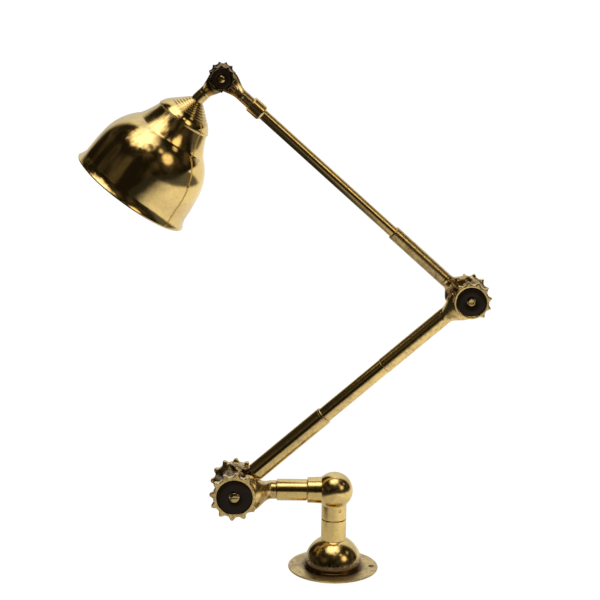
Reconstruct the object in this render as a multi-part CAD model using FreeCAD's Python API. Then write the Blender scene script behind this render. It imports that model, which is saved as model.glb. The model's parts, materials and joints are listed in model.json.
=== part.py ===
# Swing arm wall light in brass: a domed base, a ball elbow that swivels on the base post,
# two arms, and three friction joints whose faces are toothed like cogs round black discs,
# with a bell shade on the last one.
# Millimetres. The origin is the centre of the flange on its mounting face, +Z leads away
# from the mounting face along the post, and the arms swing in the X-Z plane.
# Angles are in degrees, turned from +X towards +Z, as seen from the front (from -Y).
import FreeCAD, Part
import os
from math import cos, sin, asin, acos, sqrt, radians, degrees, pi

os.makedirs("parts", exist_ok=True)

# Fits and seams
FIT = 0.05                  # radial clearance of a spigot in its socket, and of a pin that turns
CLEARANCE = 0.6             # gap between a shank and the cog that turns past it
SEAM = 1.2                  # width of the dark grooves where two turned pieces meet
SEAM_DEPTH = 1.5            # depth of those grooves
OVERRUN = 5.0               # how far a cut reaches past the surface that it opens

# Base
FLANGE_RADIUS = 55.0
FLANGE_THICKNESS = 2.0
FLANGE_BORE = 26.0          # radius of the opening behind the dome, for the wall wires
SCREW_HOLE_RADIUS = 3.4
SCREW_CIRCLE_RADIUS = 47.0
SCREW_COUNT = 3
SCREW_AZIMUTH = -1.5        # where the first screw hole stands, seen from above
DOME_RADIUS = 34.8
DOME_SKIRT = 4.0            # upright wall under the round of the dome
DOME_WALL = 1.5
DOME_LIP = 0.8              # how far the foot of the dome stands out
DOME_LIP_HEIGHT = 1.2
POST_RADIUS = 15.3
SWIVEL_HEIGHT = 64.0        # height of the ring where the light swivels on its post
SWIVEL_GAP = 0.4            # groove that shows at that ring

# Swivel stem inside the post
STEM_RADIUS = 9.0
STEM_BORE = 5.0
STEM_RISE = 22.0            # how far the stem stands up into the ball elbow
STEM_FLANGE_RADIUS = 11.5
STEM_FLANGE_HEIGHT = 3.0
STEM_THREAD_RADIUS = 7.0
POST_NUT_FLATS = 22.0
POST_NUT_HEIGHT = 5.0
POST_WASHER_RADIUS = 11.3
POST_WASHER_THICKNESS = 1.5
GROOVE_WIDTH = 3.4
GROOVE_DEPTH = 1.9
GROOVE_HEIGHT = 14.0        # middle of the retaining groove above the swivel ring
GROOVE_STOP = 14.0          # degrees of the groove left solid, which stops the swivel
GRUB_RADIUS = 1.5
GRUB_AZIMUTH = -64.0
GRUB_SLOT = 0.5
GRUB_SLOT_DEPTH = 0.8
GRUB_TIP_GAP = 0.2
GRUB_SUNK = 0.4             # how far the grub screw lies below the surface
BASE_WIRE_START = 21.0      # height inside the dome where the supply wires start

# Ball elbow and the short stub that carries the first joint
STUB_HEIGHT = 99.8
BALL_RADIUS = 22.5
ELBOW_BORE = 7.0
COLLAR_RADIUS = 15.6        # at the outer end of the collar
COLLAR_ROOT_RADIUS = 16.8   # the same cone, measured at the centre of the ball
COLLAR_REACH = 33.0
BARREL_RADIUS = 13.2
BARREL_LENGTH = 35.0
BARREL_CHAMFER = 0.7
STUB_SHANK_RADIUS = 11.3
NIPPLE_RADIUS = 6.5
NIPPLE_BORE = 4.5
NIPPLE_OVERLAP = 14.0       # how far the threaded nipple reaches past each end of the barrel
SHOULDER_REACH = 121.3      # from the post axis to the first joint

# Arms, measured between the joint pins
LOWER_ARM_LENGTH = 370.5
LOWER_ARM_ANGLE = 41.35
UPPER_ARM_LENGTH = 395.0
UPPER_ARM_ANGLE = 138.75
LOWER_ARM_OFFSET = 2.4      # how far the lower arm's axis passes inside the elbow pin
UPPER_ARM_OFFSET = 3.7      # the same for the upper arm

SLEEVE_RADIUS = 11.2
SLEEVE_START = 33.0         # from the shoulder pin to the near end of the sleeve
SLEEVE_END = 144.0
LOWER_TUBE_RADIUS = 9.6
LOWER_TUBE_WALL = 1.3
LOWER_TUBE_END = 238.0
SOCKET_DEPTH = 27.0         # how far spigots reach into the tubes
ELBOW_SHANK_RADIUS = 9.9
FOREARM_SHANK_RADIUS = 8.25
FOREARM_SHANK_END = 122.0
UPPER_TUBE_RADIUS = 6.4
UPPER_TUBE_WALL = 1.0
UPPER_COLLAR_RADIUS = 9.6
UPPER_COLLAR_START = 64.2   # from the head pin back to the far end of the collar
UPPER_COLLAR_END = 44.6
UPPER_COLLAR_CHAMFER = 2.0
HEAD_TAIL_RADIUS = 7.0
WIRE_BORE = 3.4             # radius of the wiring hole along the cast shanks
HEAD_WIRE_BORE = 2.2        # the same in the small head joint
WIRE_RADIUS = 1.1

# Head and shade, measured along the axis of the shade from the plane of its rim
HEAD_SHANK_REACH = 37.2
HEAD_SHANK_ANGLE = 223.6
HEAD_NECK = 3.0             # from the bend of the shank to the top of the cap
HEAD_SHANK_RADIUS = 7.6
SHADE_ANGLE = 234.6
SHADE_HEIGHT = 134.5        # rim plane to the top of the cap
SEAM_HEIGHT = 108.0
SEAM_RADIUS = 33.4
RIM_RADIUS = 74.0
RIM_BEAD = 1.1
SHADE_WALL = 1.0
SEAM_CHAMFER = 0.6
NECK_RADIUS = 45.3          # where the neck turns into the bell
NECK_HEIGHT = 84.0
NECK_BULGE = -0.8           # how far the neck's line swells outwards: it is hollow
BELL_RADIUS = 67.3          # where the bell turns into the upright wall
BELL_HEIGHT = 45.0
BELL_BULGE = 3.9
WALL_RADIUS = 70.3          # where the wall turns into the flare at the rim
WALL_HEIGHT = 12.0
WALL_BULGE = 0.5
FLARE_BULGE = -0.5
CAP_TOP_RADIUS = 9.4
CAP_KNEE_RADIUS = 26.4      # where the cone of the cap turns down into its skirt
CAP_KNEE_HEIGHT = 119.2
CAP_KNEE_BULGE = 0.6
CAP_SKIRT = 2.0
CAP_BEAD = 0.7              # how far the foot of the cap stands out
CAP_BEAD_HEIGHT = 1.2
CAP_GROOVES = 6
CAP_GROOVE_DEPTH = 0.4
CAP_GROOVE_FIRST = 0.12     # first and last groove, as shares of the cone from its top
CAP_GROOVE_LAST = 0.9

# Lampholder and bulb
HOLDER_RADIUS = 19.5
HOLDER_TOP = 124.5
HOLDER_CHAMFER = 3.0
HOLDER_CAP_WALL = 1.0
HOLDER_BULB_GAP = 5.3       # from the skirt down to the widest part of the bulb's shoulder
HOLDER_WALL = 2.2
HOLDER_FLANGE_RADIUS = 24.0
HOLDER_FLANGE_THICKNESS = 2.0
HOLDER_ROOF = 6.0
HOLDER_STEM_RADIUS = 5.0
SHADE_RING_RADIUS = 26.5
SHADE_RING_HEIGHT = 4.0
SCREW_SHELL_RADIUS = 14.6
SCREW_SHELL_WALL = 0.6
BULB_CAP_RADIUS = 13.2
BULB_CAP_LENGTH = 24.0
BULB_TOP = 113.5
BULB_RADIUS = 22.5
BULB_LENGTH = 72.0
BULB_GLASS_WALL = 0.9
BULB_JOIN_SHARE = 0.84      # radius where the ball of the bulb runs into its neck
BULB_SIDE_SHARE = 0.98      # a point near the widest place of the ball
INSULATOR_GAP = 0.6         # from the tip of the bulb to the ceramic disc
TOP_NUT_FLATS = 14.0
TOP_NUT_HEIGHT = 3.0

X_AXIS = FreeCAD.Vector(1, 0, 0)
Y_AXIS = FreeCAD.Vector(0, 1, 0)
Z_AXIS = FreeCAD.Vector(0, 0, 1)
ORIGIN = FreeCAD.Vector(0, 0, 0)
FRONT = -1
REAR = 1


class Cog:
    # The sizes of one friction joint, the same for its front and its rear half.
    def __init__(self, tip, root, waist, depth, rim, recess, head, pin, chamber, rounding):
        self.tip = tip                # radius over the teeth
        self.root = root              # radius between the teeth
        self.waist = waist            # radius where the halves meet
        self.half = depth / 2         # from the middle plane to either face
        self.rim = rim                # thickness of the toothed ring
        self.recess = recess          # radius of the recess that holds the black disc
        self.head = head              # radius of the screw head and of the nut
        self.pin = pin                # radius of the pivot screw
        self.chamber = chamber        # outer radius of the wiring chamber
        self.rounding = rounding      # radius at the tips of the teeth


SHOULDER = Cog(30.2, 25.6, 20.9, 62.0, 7.0, 21.6, 6.0, 3.5, 16.0, 2.0)
ELBOW = Cog(25.0, 21.2, 17.2, 45.0, 5.4, 17.6, 4.7, 3.0, 13.0, 0.6)
HEAD = Cog(16.4, 14.2, 11.6, 31.0, 3.7, 11.9, 4.2, 2.0, 8.4, 0.3)

TEETH = 12
TOOTH_HALF_ANGLE = 9.6      # half the angle that a tooth takes at its root
RECESS_DEPTH = 3.2
DISC_EDGE = 1.0             # how far the edge of a black disc lies below the face
DISC_CROWN = 1.2            # how much it rises between its edges
DISC_GAP = 0.15             # gap round a black disc
HEAD_PROUD = 2.0            # how far screw heads and nuts stand out of the face
HEAD_GAP = 0.5              # gap between a screw head or nut and its disc
HALF_GAP = 0.6              # half the gap between the halves, filled by the friction washer
WASHER_THICKNESS = 0.8
WASHER_EDGE_GAP = 0.4       # from a friction washer's edges to the waist and the chamber
SPRING_SPLIT = 0.8
SPRING_THICKNESS = 1.0
HEAD_EDGE_SHARE = 0.3       # share of a screw head's stand that is its upright edge
SLOT_SHARE = 0.22           # width of a screw slot, as a share of the head's radius
SLOT_DEPTH = 1.6
NUT_GRIP_SHARE = 0.6        # share of the nut's height that the screw fills
CHAMBER_DEPTH_SHARE = 0.55  # the wiring chamber takes this much of the depth behind the recess

# The direction of the first tooth of each half
SHOULDER_FRONT_TOOTH = 174.5
SHOULDER_REAR_TOOTH = 28.0
ELBOW_FRONT_TOOTH = 40.0
ELBOW_REAR_TOOTH = 15.0
HEAD_REAR_TOOTH = 12.0
HEAD_FRONT_TOOTH = 0.0

# Cast necks: how far from the pin each starts to swell into its half of a joint
SHOULDER_FRONT_NECK = 44.0
ELBOW_FRONT_NECK = 37.0
ELBOW_REAR_NECK = 35.0
HEAD_REAR_NECK = 30.0
HEAD_FRONT_NECK = 25.0
NECK_LEAD = 4.0             # straight stretch of a shank before its neck starts
NECK_MIDDLE = 0.84          # place of the middle section, as a share of the neck's start
NECK_NEAR = 0.66            # place of the section near the hub, counted the same way
NECK_HUB = 0.5              # place of the section in the hub, as a share of the root radius
NECK_SWELL = 1.12           # width of the middle section against the shank
NECK_NEAR_WIDTH = 0.7       # half the width near the hub, as a share of the root radius
NECK_HUB_WIDTH = 0.93       # the same in the hub
NECK_MIDDLE_LEAN = 0.2      # how far each section lies from the middle plane, against half
NECK_NEAR_LEAN = 0.45       # the depth of the joint
NECK_HUB_LEAN = 0.56
NECK_HALF_DEPTH = 0.42      # half the depth of the last two sections, against the same


# Small helpers

def vector(x, y, z):
    return FreeCAD.Vector(x, y, z)


def heading(angle):
    # A unit vector in the plane of the arms.
    return vector(cos(radians(angle)), 0, sin(radians(angle)))


def in_plane(radius, angle, y):
    # A point round the Y axis.
    return vector(radius * cos(radians(angle)), y, radius * sin(radians(angle)))


def solid_of(shape):
    # The one solid of a finished piece, with faces that lie in one surface joined.
    clean = shape.removeSplitter()
    if len(clean.Solids) == 1:
        return clean.Solids[0]
    return clean


def revolved(points, axis=Z_AXIS):
    # Turns a closed outline round an axis through the origin. The points are radius and
    # height. A third value bends the line that leads to a point into an arc by way of
    # the given middle point.
    edges = []
    last = None
    for point in points + [points[0]]:
        spot = at_radius(point[0], point[1], axis)
        if last is not None and spot.sub(last).Length > 1e-6:
            if len(point) == 3:
                middle = at_radius(point[2][0], point[2][1], axis)
                edges.append(Part.Arc(last, middle, spot).toShape())
            else:
                edges.append(Part.makeLine(last, spot))
        last = spot
    face = Part.Face(Part.Wire(edges))
    return face.revolve(ORIGIN, axis, 360)


def at_radius(radius, height, axis):
    if axis.y:
        return vector(radius, height, 0)
    return vector(radius, 0, height)


def ring(outer, inner, low, high, axis=Z_AXIS):
    return revolved([(inner, low), (outer, low), (outer, high), (inner, high)], axis)


def rod(start, end, radius):
    run = end.sub(start)
    return Part.makeCylinder(radius, run.Length, start, run)


def turn_in_plane(shape, angle):
    # Turns a shape that was made along +X to an angle of the arm plane.
    turned = shape.copy()
    turned.rotate(ORIGIN, vector(0, -1, 0), angle)
    return turned


def place_on_axis(shape, start, angle):
    # Takes a piece that was turned round Z and lays its axis along an angle of the arm plane.
    laid = shape.copy()
    laid.rotate(ORIGIN, Y_AXIS, 90)
    laid = turn_in_plane(laid, angle)
    laid.translate(start)
    return laid


def hexagon(flats, low, high):
    # A hexagonal bar round Z.
    corner = flats / sqrt(3)
    points = []
    for index in range(7):
        points.append(vector(corner * cos(index * pi / 3), corner * sin(index * pi / 3), low))
    return Part.Face(Part.makePolygon(points)).extrude(vector(0, 0, high - low))


def save(shape, node):
    shape.exportStep("parts/" + node + ".step")


# Places worked out from the driving sizes

SHOULDER_PIN = vector(-SHOULDER_REACH, 0, STUB_HEIGHT)
ELBOW_PIN = SHOULDER_PIN + heading(LOWER_ARM_ANGLE) * LOWER_ARM_LENGTH
HEAD_PIN = ELBOW_PIN + heading(UPPER_ARM_ANGLE) * UPPER_ARM_LENGTH
LOWER_AXIS_ANGLE = LOWER_ARM_ANGLE + degrees(asin(LOWER_ARM_OFFSET / LOWER_ARM_LENGTH))
UPPER_AXIS_ANGLE = UPPER_ARM_ANGLE - degrees(asin(UPPER_ARM_OFFSET / UPPER_ARM_LENGTH))
LOWER_AXIS_LENGTH = sqrt(LOWER_ARM_LENGTH ** 2 - LOWER_ARM_OFFSET ** 2)
UPPER_AXIS_LENGTH = sqrt(UPPER_ARM_LENGTH ** 2 - UPPER_ARM_OFFSET ** 2)
FOREARM_START = ELBOW_PIN + heading(UPPER_AXIS_ANGLE + 90) * UPPER_ARM_OFFSET
HEAD_BEND = HEAD_PIN + heading(HEAD_SHANK_ANGLE) * HEAD_SHANK_REACH
CAP_APEX = HEAD_BEND + heading(SHADE_ANGLE) * HEAD_NECK
RIM_CENTRE = CAP_APEX + heading(SHADE_ANGLE) * SHADE_HEIGHT
DOME_CENTRE = FLANGE_THICKNESS + DOME_SKIRT
POST_FOOT = DOME_CENTRE + sqrt(DOME_RADIUS ** 2 - POST_RADIUS ** 2)
BARREL_START = COLLAR_REACH
BARREL_END = COLLAR_REACH + BARREL_LENGTH + 2 * SEAM
BULB_CENTRE = BULB_TOP - BULB_LENGTH + BULB_RADIUS
BULB_SHOULDER = BULB_CENTRE + BULB_RADIUS * sqrt(1 - BULB_JOIN_SHARE ** 2)
HOLDER_BOTTOM = BULB_SHOULDER + HOLDER_BULB_GAP


# Base

def base_flange():
    edge = FLANGE_THICKNESS / 2
    plate = revolved([
        (FLANGE_BORE, 0),
        (FLANGE_RADIUS - edge, 0),
        (FLANGE_RADIUS - edge, FLANGE_THICKNESS, (FLANGE_RADIUS, edge)),
        (FLANGE_BORE, FLANGE_THICKNESS)])
    for index in range(SCREW_COUNT):
        angle = radians(SCREW_AZIMUTH + index * 360 / SCREW_COUNT)
        foot = vector(SCREW_CIRCLE_RADIUS * cos(angle), SCREW_CIRCLE_RADIUS * sin(angle), 0)
        plate = plate.cut(Part.makeCylinder(SCREW_HOLE_RADIUS, FLANGE_THICKNESS, foot))
    return plate


def arc_middle(centre_height, radius, start_radius, end_radius):
    # A point halfway along a round that is centred on the Z axis.
    start = acos(start_radius / radius)
    end = acos(end_radius / radius)
    half = (start + end) / 2
    return (radius * cos(half), centre_height + radius * sin(half))


def base_dome():
    lip = DOME_RADIUS + DOME_LIP
    lip_top = FLANGE_THICKNESS + DOME_LIP_HEIGHT
    inner = DOME_RADIUS - DOME_WALL
    inner_top = dome_inner_top()
    flat = sqrt(inner ** 2 - (inner_top - DOME_CENTRE) ** 2)
    hole = STEM_THREAD_RADIUS + FIT
    return revolved([
        (inner, FLANGE_THICKNESS),
        (lip, FLANGE_THICKNESS),
        (lip, lip_top),
        (DOME_RADIUS, lip_top + DOME_LIP),
        (DOME_RADIUS, DOME_CENTRE),
        (POST_RADIUS, POST_FOOT, arc_middle(DOME_CENTRE, DOME_RADIUS, DOME_RADIUS, POST_RADIUS)),
        (hole, POST_FOOT),
        (hole, inner_top),
        (flat, inner_top),
        (inner, DOME_CENTRE, arc_middle(DOME_CENTRE, inner, inner, flat))])


def dome_inner_top():
    # The underside of the flat that the post stands on.
    return POST_FOOT - DOME_WALL


def post_sleeve():
    # A turned tube from the dome to the swivel ring, with a counterbore for the stem.
    top = SWIVEL_HEIGHT - SWIVEL_GAP
    shoulder = POST_FOOT + STEM_FLANGE_HEIGHT
    return revolved([
        (STEM_FLANGE_RADIUS + FIT, POST_FOOT),
        (POST_RADIUS, POST_FOOT),
        (POST_RADIUS, top),
        (STEM_RADIUS + FIT, top),
        (STEM_RADIUS + FIT, shoulder),
        (STEM_FLANGE_RADIUS + FIT, shoulder)])


def swivel_stem():
    # A hollow stem: flange and thread below, the bearing for the elbow above, with the
    # groove that the grub screw runs in. The groove stops short of a full turn.
    top = SWIVEL_HEIGHT + STEM_RISE
    foot = dome_inner_top() - POST_WASHER_THICKNESS - POST_NUT_HEIGHT - STEM_FLANGE_HEIGHT
    stem = revolved([
        (STEM_BORE, foot),
        (STEM_THREAD_RADIUS, foot),
        (STEM_THREAD_RADIUS, POST_FOOT),
        (STEM_FLANGE_RADIUS, POST_FOOT),
        (STEM_FLANGE_RADIUS, POST_FOOT + STEM_FLANGE_HEIGHT),
        (STEM_RADIUS, POST_FOOT + STEM_FLANGE_HEIGHT),
        (STEM_RADIUS, top),
        (STEM_BORE, top)])
    middle = SWIVEL_HEIGHT + GROOVE_HEIGHT
    low = middle - GROOVE_WIDTH / 2
    high = middle + GROOVE_WIDTH / 2
    floor = STEM_RADIUS - GROOVE_DEPTH
    outside = STEM_RADIUS + OVERRUN
    corners = [vector(floor, 0, low), vector(outside, 0, low), vector(outside, 0, high),
               vector(floor, 0, high), vector(floor, 0, low)]
    groove = Part.Face(Part.makePolygon(corners)).revolve(ORIGIN, Z_AXIS, 360 - GROOVE_STOP)
    groove.rotate(ORIGIN, Z_AXIS, GRUB_AZIMUTH + 180 + GROOVE_STOP / 2)
    return stem.cut(groove)


def post_washer():
    top = dome_inner_top()
    return ring(POST_WASHER_RADIUS, STEM_THREAD_RADIUS + FIT, top - POST_WASHER_THICKNESS, top)


def post_nut():
    high = dome_inner_top() - POST_WASHER_THICKNESS
    low = high - POST_NUT_HEIGHT
    nut = hexagon(POST_NUT_FLATS, low, high)
    return nut.cut(Part.makeCylinder(STEM_THREAD_RADIUS + FIT, high - low, vector(0, 0, low)))


# Ball elbow and stub

def ball_elbow():
    spigot_low = SWIVEL_HEIGHT
    centre = vector(0, 0, STUB_HEIGHT)
    body = Part.makeSphere(BALL_RADIUS, centre)
    body = body.fuse(Part.makeCylinder(POST_RADIUS, STUB_HEIGHT - spigot_low, vector(0, 0, spigot_low)))
    collar = Part.makeCone(COLLAR_ROOT_RADIUS, COLLAR_RADIUS, COLLAR_REACH, centre, X_AXIS * -1)
    body = body.fuse(collar).removeSplitter()
    stem_hole = Part.makeCylinder(STEM_RADIUS + FIT, STEM_RISE + SEAM, vector(0, 0, spigot_low))
    wire_hole = Part.makeCylinder(ELBOW_BORE, STUB_HEIGHT - spigot_low, vector(0, 0, spigot_low))
    nipple_hole = rod(centre, centre - X_AXIS * COLLAR_REACH, NIPPLE_RADIUS + FIT)
    body = body.cut(stem_hole).cut(wire_hole).cut(nipple_hole)
    return body.cut(grub_hole())


def grub_direction():
    angle = radians(GRUB_AZIMUTH)
    return vector(cos(angle), sin(angle), 0)


def grub_hole():
    start = vector(0, 0, SWIVEL_HEIGHT + GROOVE_HEIGHT)
    return rod(start, start + grub_direction() * (POST_RADIUS + OVERRUN), GRUB_RADIUS)


def swivel_grub_screw():
    height = vector(0, 0, SWIVEL_HEIGHT + GROOVE_HEIGHT)
    tip = grub_direction() * (STEM_RADIUS - GROOVE_DEPTH + GRUB_TIP_GAP)
    end = grub_direction() * (POST_RADIUS - GRUB_SUNK)
    screw = rod(height + tip, height + end, GRUB_RADIUS)
    corner = vector(-GRUB_SLOT_DEPTH, -2 * GRUB_RADIUS, -GRUB_SLOT / 2)
    slot = Part.makeBox(2 * GRUB_SLOT_DEPTH, 4 * GRUB_RADIUS, GRUB_SLOT, corner)
    slot.rotate(ORIGIN, Z_AXIS, GRUB_AZIMUTH)
    slot.translate(height + end)
    return screw.cut(slot)


def stub_barrel():
    # A turned coupling between two dark grooves, with a chamfer at both ends.
    inner = NIPPLE_RADIUS + FIT
    neck = BARREL_RADIUS - SEAM_DEPTH
    low = BARREL_START
    high = BARREL_END
    barrel = revolved([
        (inner, low),
        (neck, low),
        (neck, low + SEAM),
        (BARREL_RADIUS - BARREL_CHAMFER, low + SEAM),
        (BARREL_RADIUS, low + SEAM + BARREL_CHAMFER),
        (BARREL_RADIUS, high - SEAM - BARREL_CHAMFER),
        (BARREL_RADIUS - BARREL_CHAMFER, high - SEAM),
        (neck, high - SEAM),
        (neck, high),
        (inner, high)])
    return place_on_axis(barrel, vector(0, 0, STUB_HEIGHT), 180)


def stub_nipple():
    low = BARREL_START - NIPPLE_OVERLAP
    high = BARREL_END + NIPPLE_OVERLAP
    return place_on_axis(ring(NIPPLE_RADIUS, NIPPLE_BORE, low, high), vector(0, 0, STUB_HEIGHT), 180)


# Friction joints

def spool_half(cog, side):
    # One half of a joint, turned round the pin: a waist at the middle plane, a hollow
    # curve out to the toothed ring, a recess in the face and a wiring chamber inside.
    root = cog.root
    ring_start = cog.half - cog.rim
    floor = cog.half - RECESS_DEPTH
    boss = cog.pin + (cog.chamber - cog.pin) * 0.45
    bore = cog.pin + FIT
    chamber_end = HALF_GAP + (floor - HALF_GAP) * CHAMBER_DEPTH_SHARE
    curve = (cog.waist + (root - cog.waist) * 0.22, HALF_GAP + (ring_start - HALF_GAP) * 0.62)
    points = [
        (cog.chamber, HALF_GAP),
        (cog.waist, HALF_GAP),
        (root, ring_start, curve),
        (root, cog.half),
        (cog.recess, cog.half),
        (cog.recess, floor),
        (bore, floor),
        (bore, HALF_GAP),
        (boss, HALF_GAP),
        (boss, chamber_end),
        (cog.chamber, chamber_end)]
    return revolved([flipped(point, side) for point in points], Y_AXIS)


def flipped(point, side):
    # Puts an outline point on the front or the rear side of the middle plane.
    if len(point) == 3:
        return (point[0], side * point[1], (point[2][0], side * point[2][1]))
    return (point[0], side * point[1])


def cog_tooth(cog, side, angle):
    # A pointed tooth on the toothed ring, rounded at its tip.
    near = side * (cog.half - cog.rim)
    inside = cog.root - 1.2
    left = in_plane(cog.root, angle + TOOTH_HALF_ANGLE, near)
    right = in_plane(cog.root, angle - TOOTH_HALF_ANGLE, near)
    tip_left = in_plane(cog.tip, angle, near) + in_plane(cog.rounding, angle + 90, 0)
    tip_right = in_plane(cog.tip, angle, near) - in_plane(cog.rounding, angle + 90, 0)
    crest = cog.rounding * 0.5
    base_left = in_plane(inside, angle + TOOTH_HALF_ANGLE, near)
    base_right = in_plane(inside, angle - TOOTH_HALF_ANGLE, near)
    tip_left = tip_left - in_plane(crest, angle, 0)
    tip_right = tip_right - in_plane(crest, angle, 0)
    edges = [
        Part.makeLine(base_left, left),
        Part.makeLine(left, tip_left),
        Part.Arc(tip_left, in_plane(cog.tip, angle, near), tip_right).toShape(),
        Part.makeLine(tip_right, right),
        Part.makeLine(right, base_right),
        Part.makeLine(base_right, base_left)]
    return Part.Face(Part.Wire(edges)).extrude(vector(0, side * cog.rim, 0))


def oval(distance, y, across, along_pin):
    # A section of a shank at a distance along +X. An ellipse needs its longer half first.
    centre = vector(distance, y, 0)
    if abs(across - along_pin) < 1e-6:
        circle = Part.Circle(centre, X_AXIS, across)
        return Part.Wire(circle.toShape())
    if across > along_pin:
        shape = Part.Ellipse(centre + Z_AXIS * across, centre + Y_AXIS * along_pin, centre)
    else:
        shape = Part.Ellipse(centre + Y_AXIS * along_pin, centre + Z_AXIS * across, centre)
    return Part.Wire(shape.toShape())


def cast_neck(cog, side, shank_radius, neck_start, shift):
    # The neck that leads from a round shank on the middle plane into one half of a joint.
    # It is made along +X, and the arm axis passes beside the pin by the shift.
    towards = side * cog.half
    deep = cog.half * NECK_HALF_DEPTH
    sections = [
        oval(neck_start + NECK_LEAD, 0, shank_radius, shank_radius),
        oval(neck_start, 0, shank_radius, shank_radius),
        oval(neck_start * NECK_MIDDLE, towards * NECK_MIDDLE_LEAN, shank_radius * NECK_SWELL, shank_radius),
        oval(neck_start * NECK_NEAR, towards * NECK_NEAR_LEAN, cog.root * NECK_NEAR_WIDTH, deep),
        oval(cog.root * NECK_HUB, towards * NECK_HUB_LEAN, cog.root * NECK_HUB_WIDTH, deep)]
    neck = Part.makeLoft(sections, True, False)
    neck.translate(vector(0, 0, shift))
    return neck


def other_half_space(cog, side):
    # The space that the other half of the joint turns in.
    reach = cog.tip + CLEARANCE
    length = cog.half + OVERRUN
    start = vector(0, side * HALF_GAP, 0)
    return Part.makeCylinder(reach, length, start, vector(0, -side, 0))


def wire_passage(cog, side, radius, shank_end, shift):
    # The wiring hole: straight along the shank, then slanting into the chamber.
    bend = cog.tip + CLEARANCE + 2.6 * radius
    chamber_middle = cog.pin + (cog.chamber - cog.pin) * 0.72
    straight = rod(vector(bend, 0, shift), vector(shank_end, 0, shift), radius)
    slant = rod(vector(bend, 0, shift), vector(chamber_middle, side * cog.half * 0.34, 0), radius)
    return straight.fuse(slant).fuse(Part.makeSphere(radius, vector(bend, 0, shift)))


def joint_half(cog, side, angle, teeth, shank, end, neck, wire, shift=0.0, spigot=(0, 0),
               socket=(0, 0)):
    # A cast half of a joint with its neck and shank, made along +X and then turned to its
    # angle. Shank and wire are radii, end is where the shank ends, and neck is where its
    # neck starts. A spigot or socket is a radius and a depth at the end of the shank.
    floor = cog.half - RECESS_DEPTH
    arm = cast_neck(cog, side, shank, neck, shift)
    if end > neck + NECK_LEAD:
        arm = arm.fuse(rod(vector(neck + NECK_LEAD, 0, shift), vector(end, 0, shift), shank))
    if spigot[0]:
        arm = arm.fuse(rod(vector(end, 0, shift), vector(end + spigot[1], 0, shift), spigot[0]))
    arm = arm.cut(other_half_space(cog, side))
    hub = Part.makeCylinder(cog.waist - 1, 4 * cog.half, vector(0, -2 * cog.half, 0), Y_AXIS)
    arm = arm.cut(hub)
    passage = wire_passage(cog, side, wire, end + spigot[1] + OVERRUN, shift)
    if socket[0]:
        mouth = vector(end + OVERRUN, 0, shift)
        passage = passage.fuse(rod(vector(end - socket[1], 0, shift), mouth, socket[0]))
    body = spool_half(cog, side).fuse(turn_in_plane(arm, angle))
    for tooth in teeth:
        body = body.fuse(cog_tooth(cog, side, tooth))
    recess = Part.makeCylinder(cog.recess, RECESS_DEPTH + OVERRUN, vector(0, side * floor, 0),
                               vector(0, side, 0))
    return body.cut(recess).cut(turn_in_plane(passage, angle))


def teeth_from(first, left_out):
    # The directions of the teeth of one half: a full ring, less those that the neck covers.
    pitch = 360 / TEETH
    return [first + index * pitch for index in range(TEETH) if index not in left_out]


def shoulder_front_knuckle():
    # Its neck is hollowed where the lower arm rests beside it, at the joint's stop.
    half = joint_half(SHOULDER, FRONT, 0, teeth_from(SHOULDER_FRONT_TOOTH, (6, 7)),
                      STUB_SHANK_RADIUS, SHOULDER_REACH - BARREL_END, SHOULDER_FRONT_NECK,
                      WIRE_BORE, socket=(NIPPLE_RADIUS + FIT, NIPPLE_OVERLAP))
    arm_start = heading(LOWER_AXIS_ANGLE) * SHOULDER.waist
    arm_end = heading(LOWER_AXIS_ANGLE) * SLEEVE_END
    arm_space = rod(arm_start, arm_end, SLEEVE_RADIUS + CLEARANCE)
    depth = 2 * SHOULDER.half
    hub = Part.makeCylinder(SHOULDER.tip, 2 * depth, vector(0, -depth, 0), Y_AXIS)
    return moved(half.cut(arm_space.cut(hub)), SHOULDER_PIN)


def shoulder_rear_knuckle():
    half = joint_half(SHOULDER, REAR, LOWER_AXIS_ANGLE, teeth_from(SHOULDER_REAR_TOOTH, (0,)),
                      LOWER_TUBE_RADIUS + FIT, SLEEVE_START, SLEEVE_START - NECK_LEAD, WIRE_BORE,
                      spigot=(LOWER_TUBE_RADIUS, SOCKET_DEPTH))
    return moved(half, SHOULDER_PIN)


def elbow_front_knuckle():
    half = joint_half(ELBOW, FRONT, LOWER_AXIS_ANGLE + 180,
                      teeth_from(ELBOW_FRONT_TOOTH, (4, 5, 6, 7, 8)), ELBOW_SHANK_RADIUS,
                      LOWER_AXIS_LENGTH - LOWER_TUBE_END, ELBOW_FRONT_NECK, WIRE_BORE,
                      -LOWER_ARM_OFFSET,
                      spigot=(LOWER_TUBE_RADIUS - LOWER_TUBE_WALL - FIT, SOCKET_DEPTH))
    return moved(half, ELBOW_PIN)


def elbow_rear_knuckle():
    half = joint_half(ELBOW, REAR, UPPER_AXIS_ANGLE, teeth_from(ELBOW_REAR_TOOTH, (4, 5)),
                      FOREARM_SHANK_RADIUS, FOREARM_SHANK_END, ELBOW_REAR_NECK, WIRE_BORE,
                      UPPER_ARM_OFFSET,
                      socket=(UPPER_TUBE_RADIUS + FIT, SOCKET_DEPTH))
    return moved(half, ELBOW_PIN)


def head_rear_knuckle():
    half = joint_half(HEAD, REAR, UPPER_AXIS_ANGLE + 180, teeth_from(HEAD_REAR_TOOTH, (10,)),
                      HEAD_TAIL_RADIUS, UPPER_COLLAR_END, HEAD_REAR_NECK, HEAD_WIRE_BORE,
                      spigot=(UPPER_TUBE_RADIUS, (UPPER_COLLAR_START - UPPER_COLLAR_END) / 2))
    return moved(half, HEAD_PIN)


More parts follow.
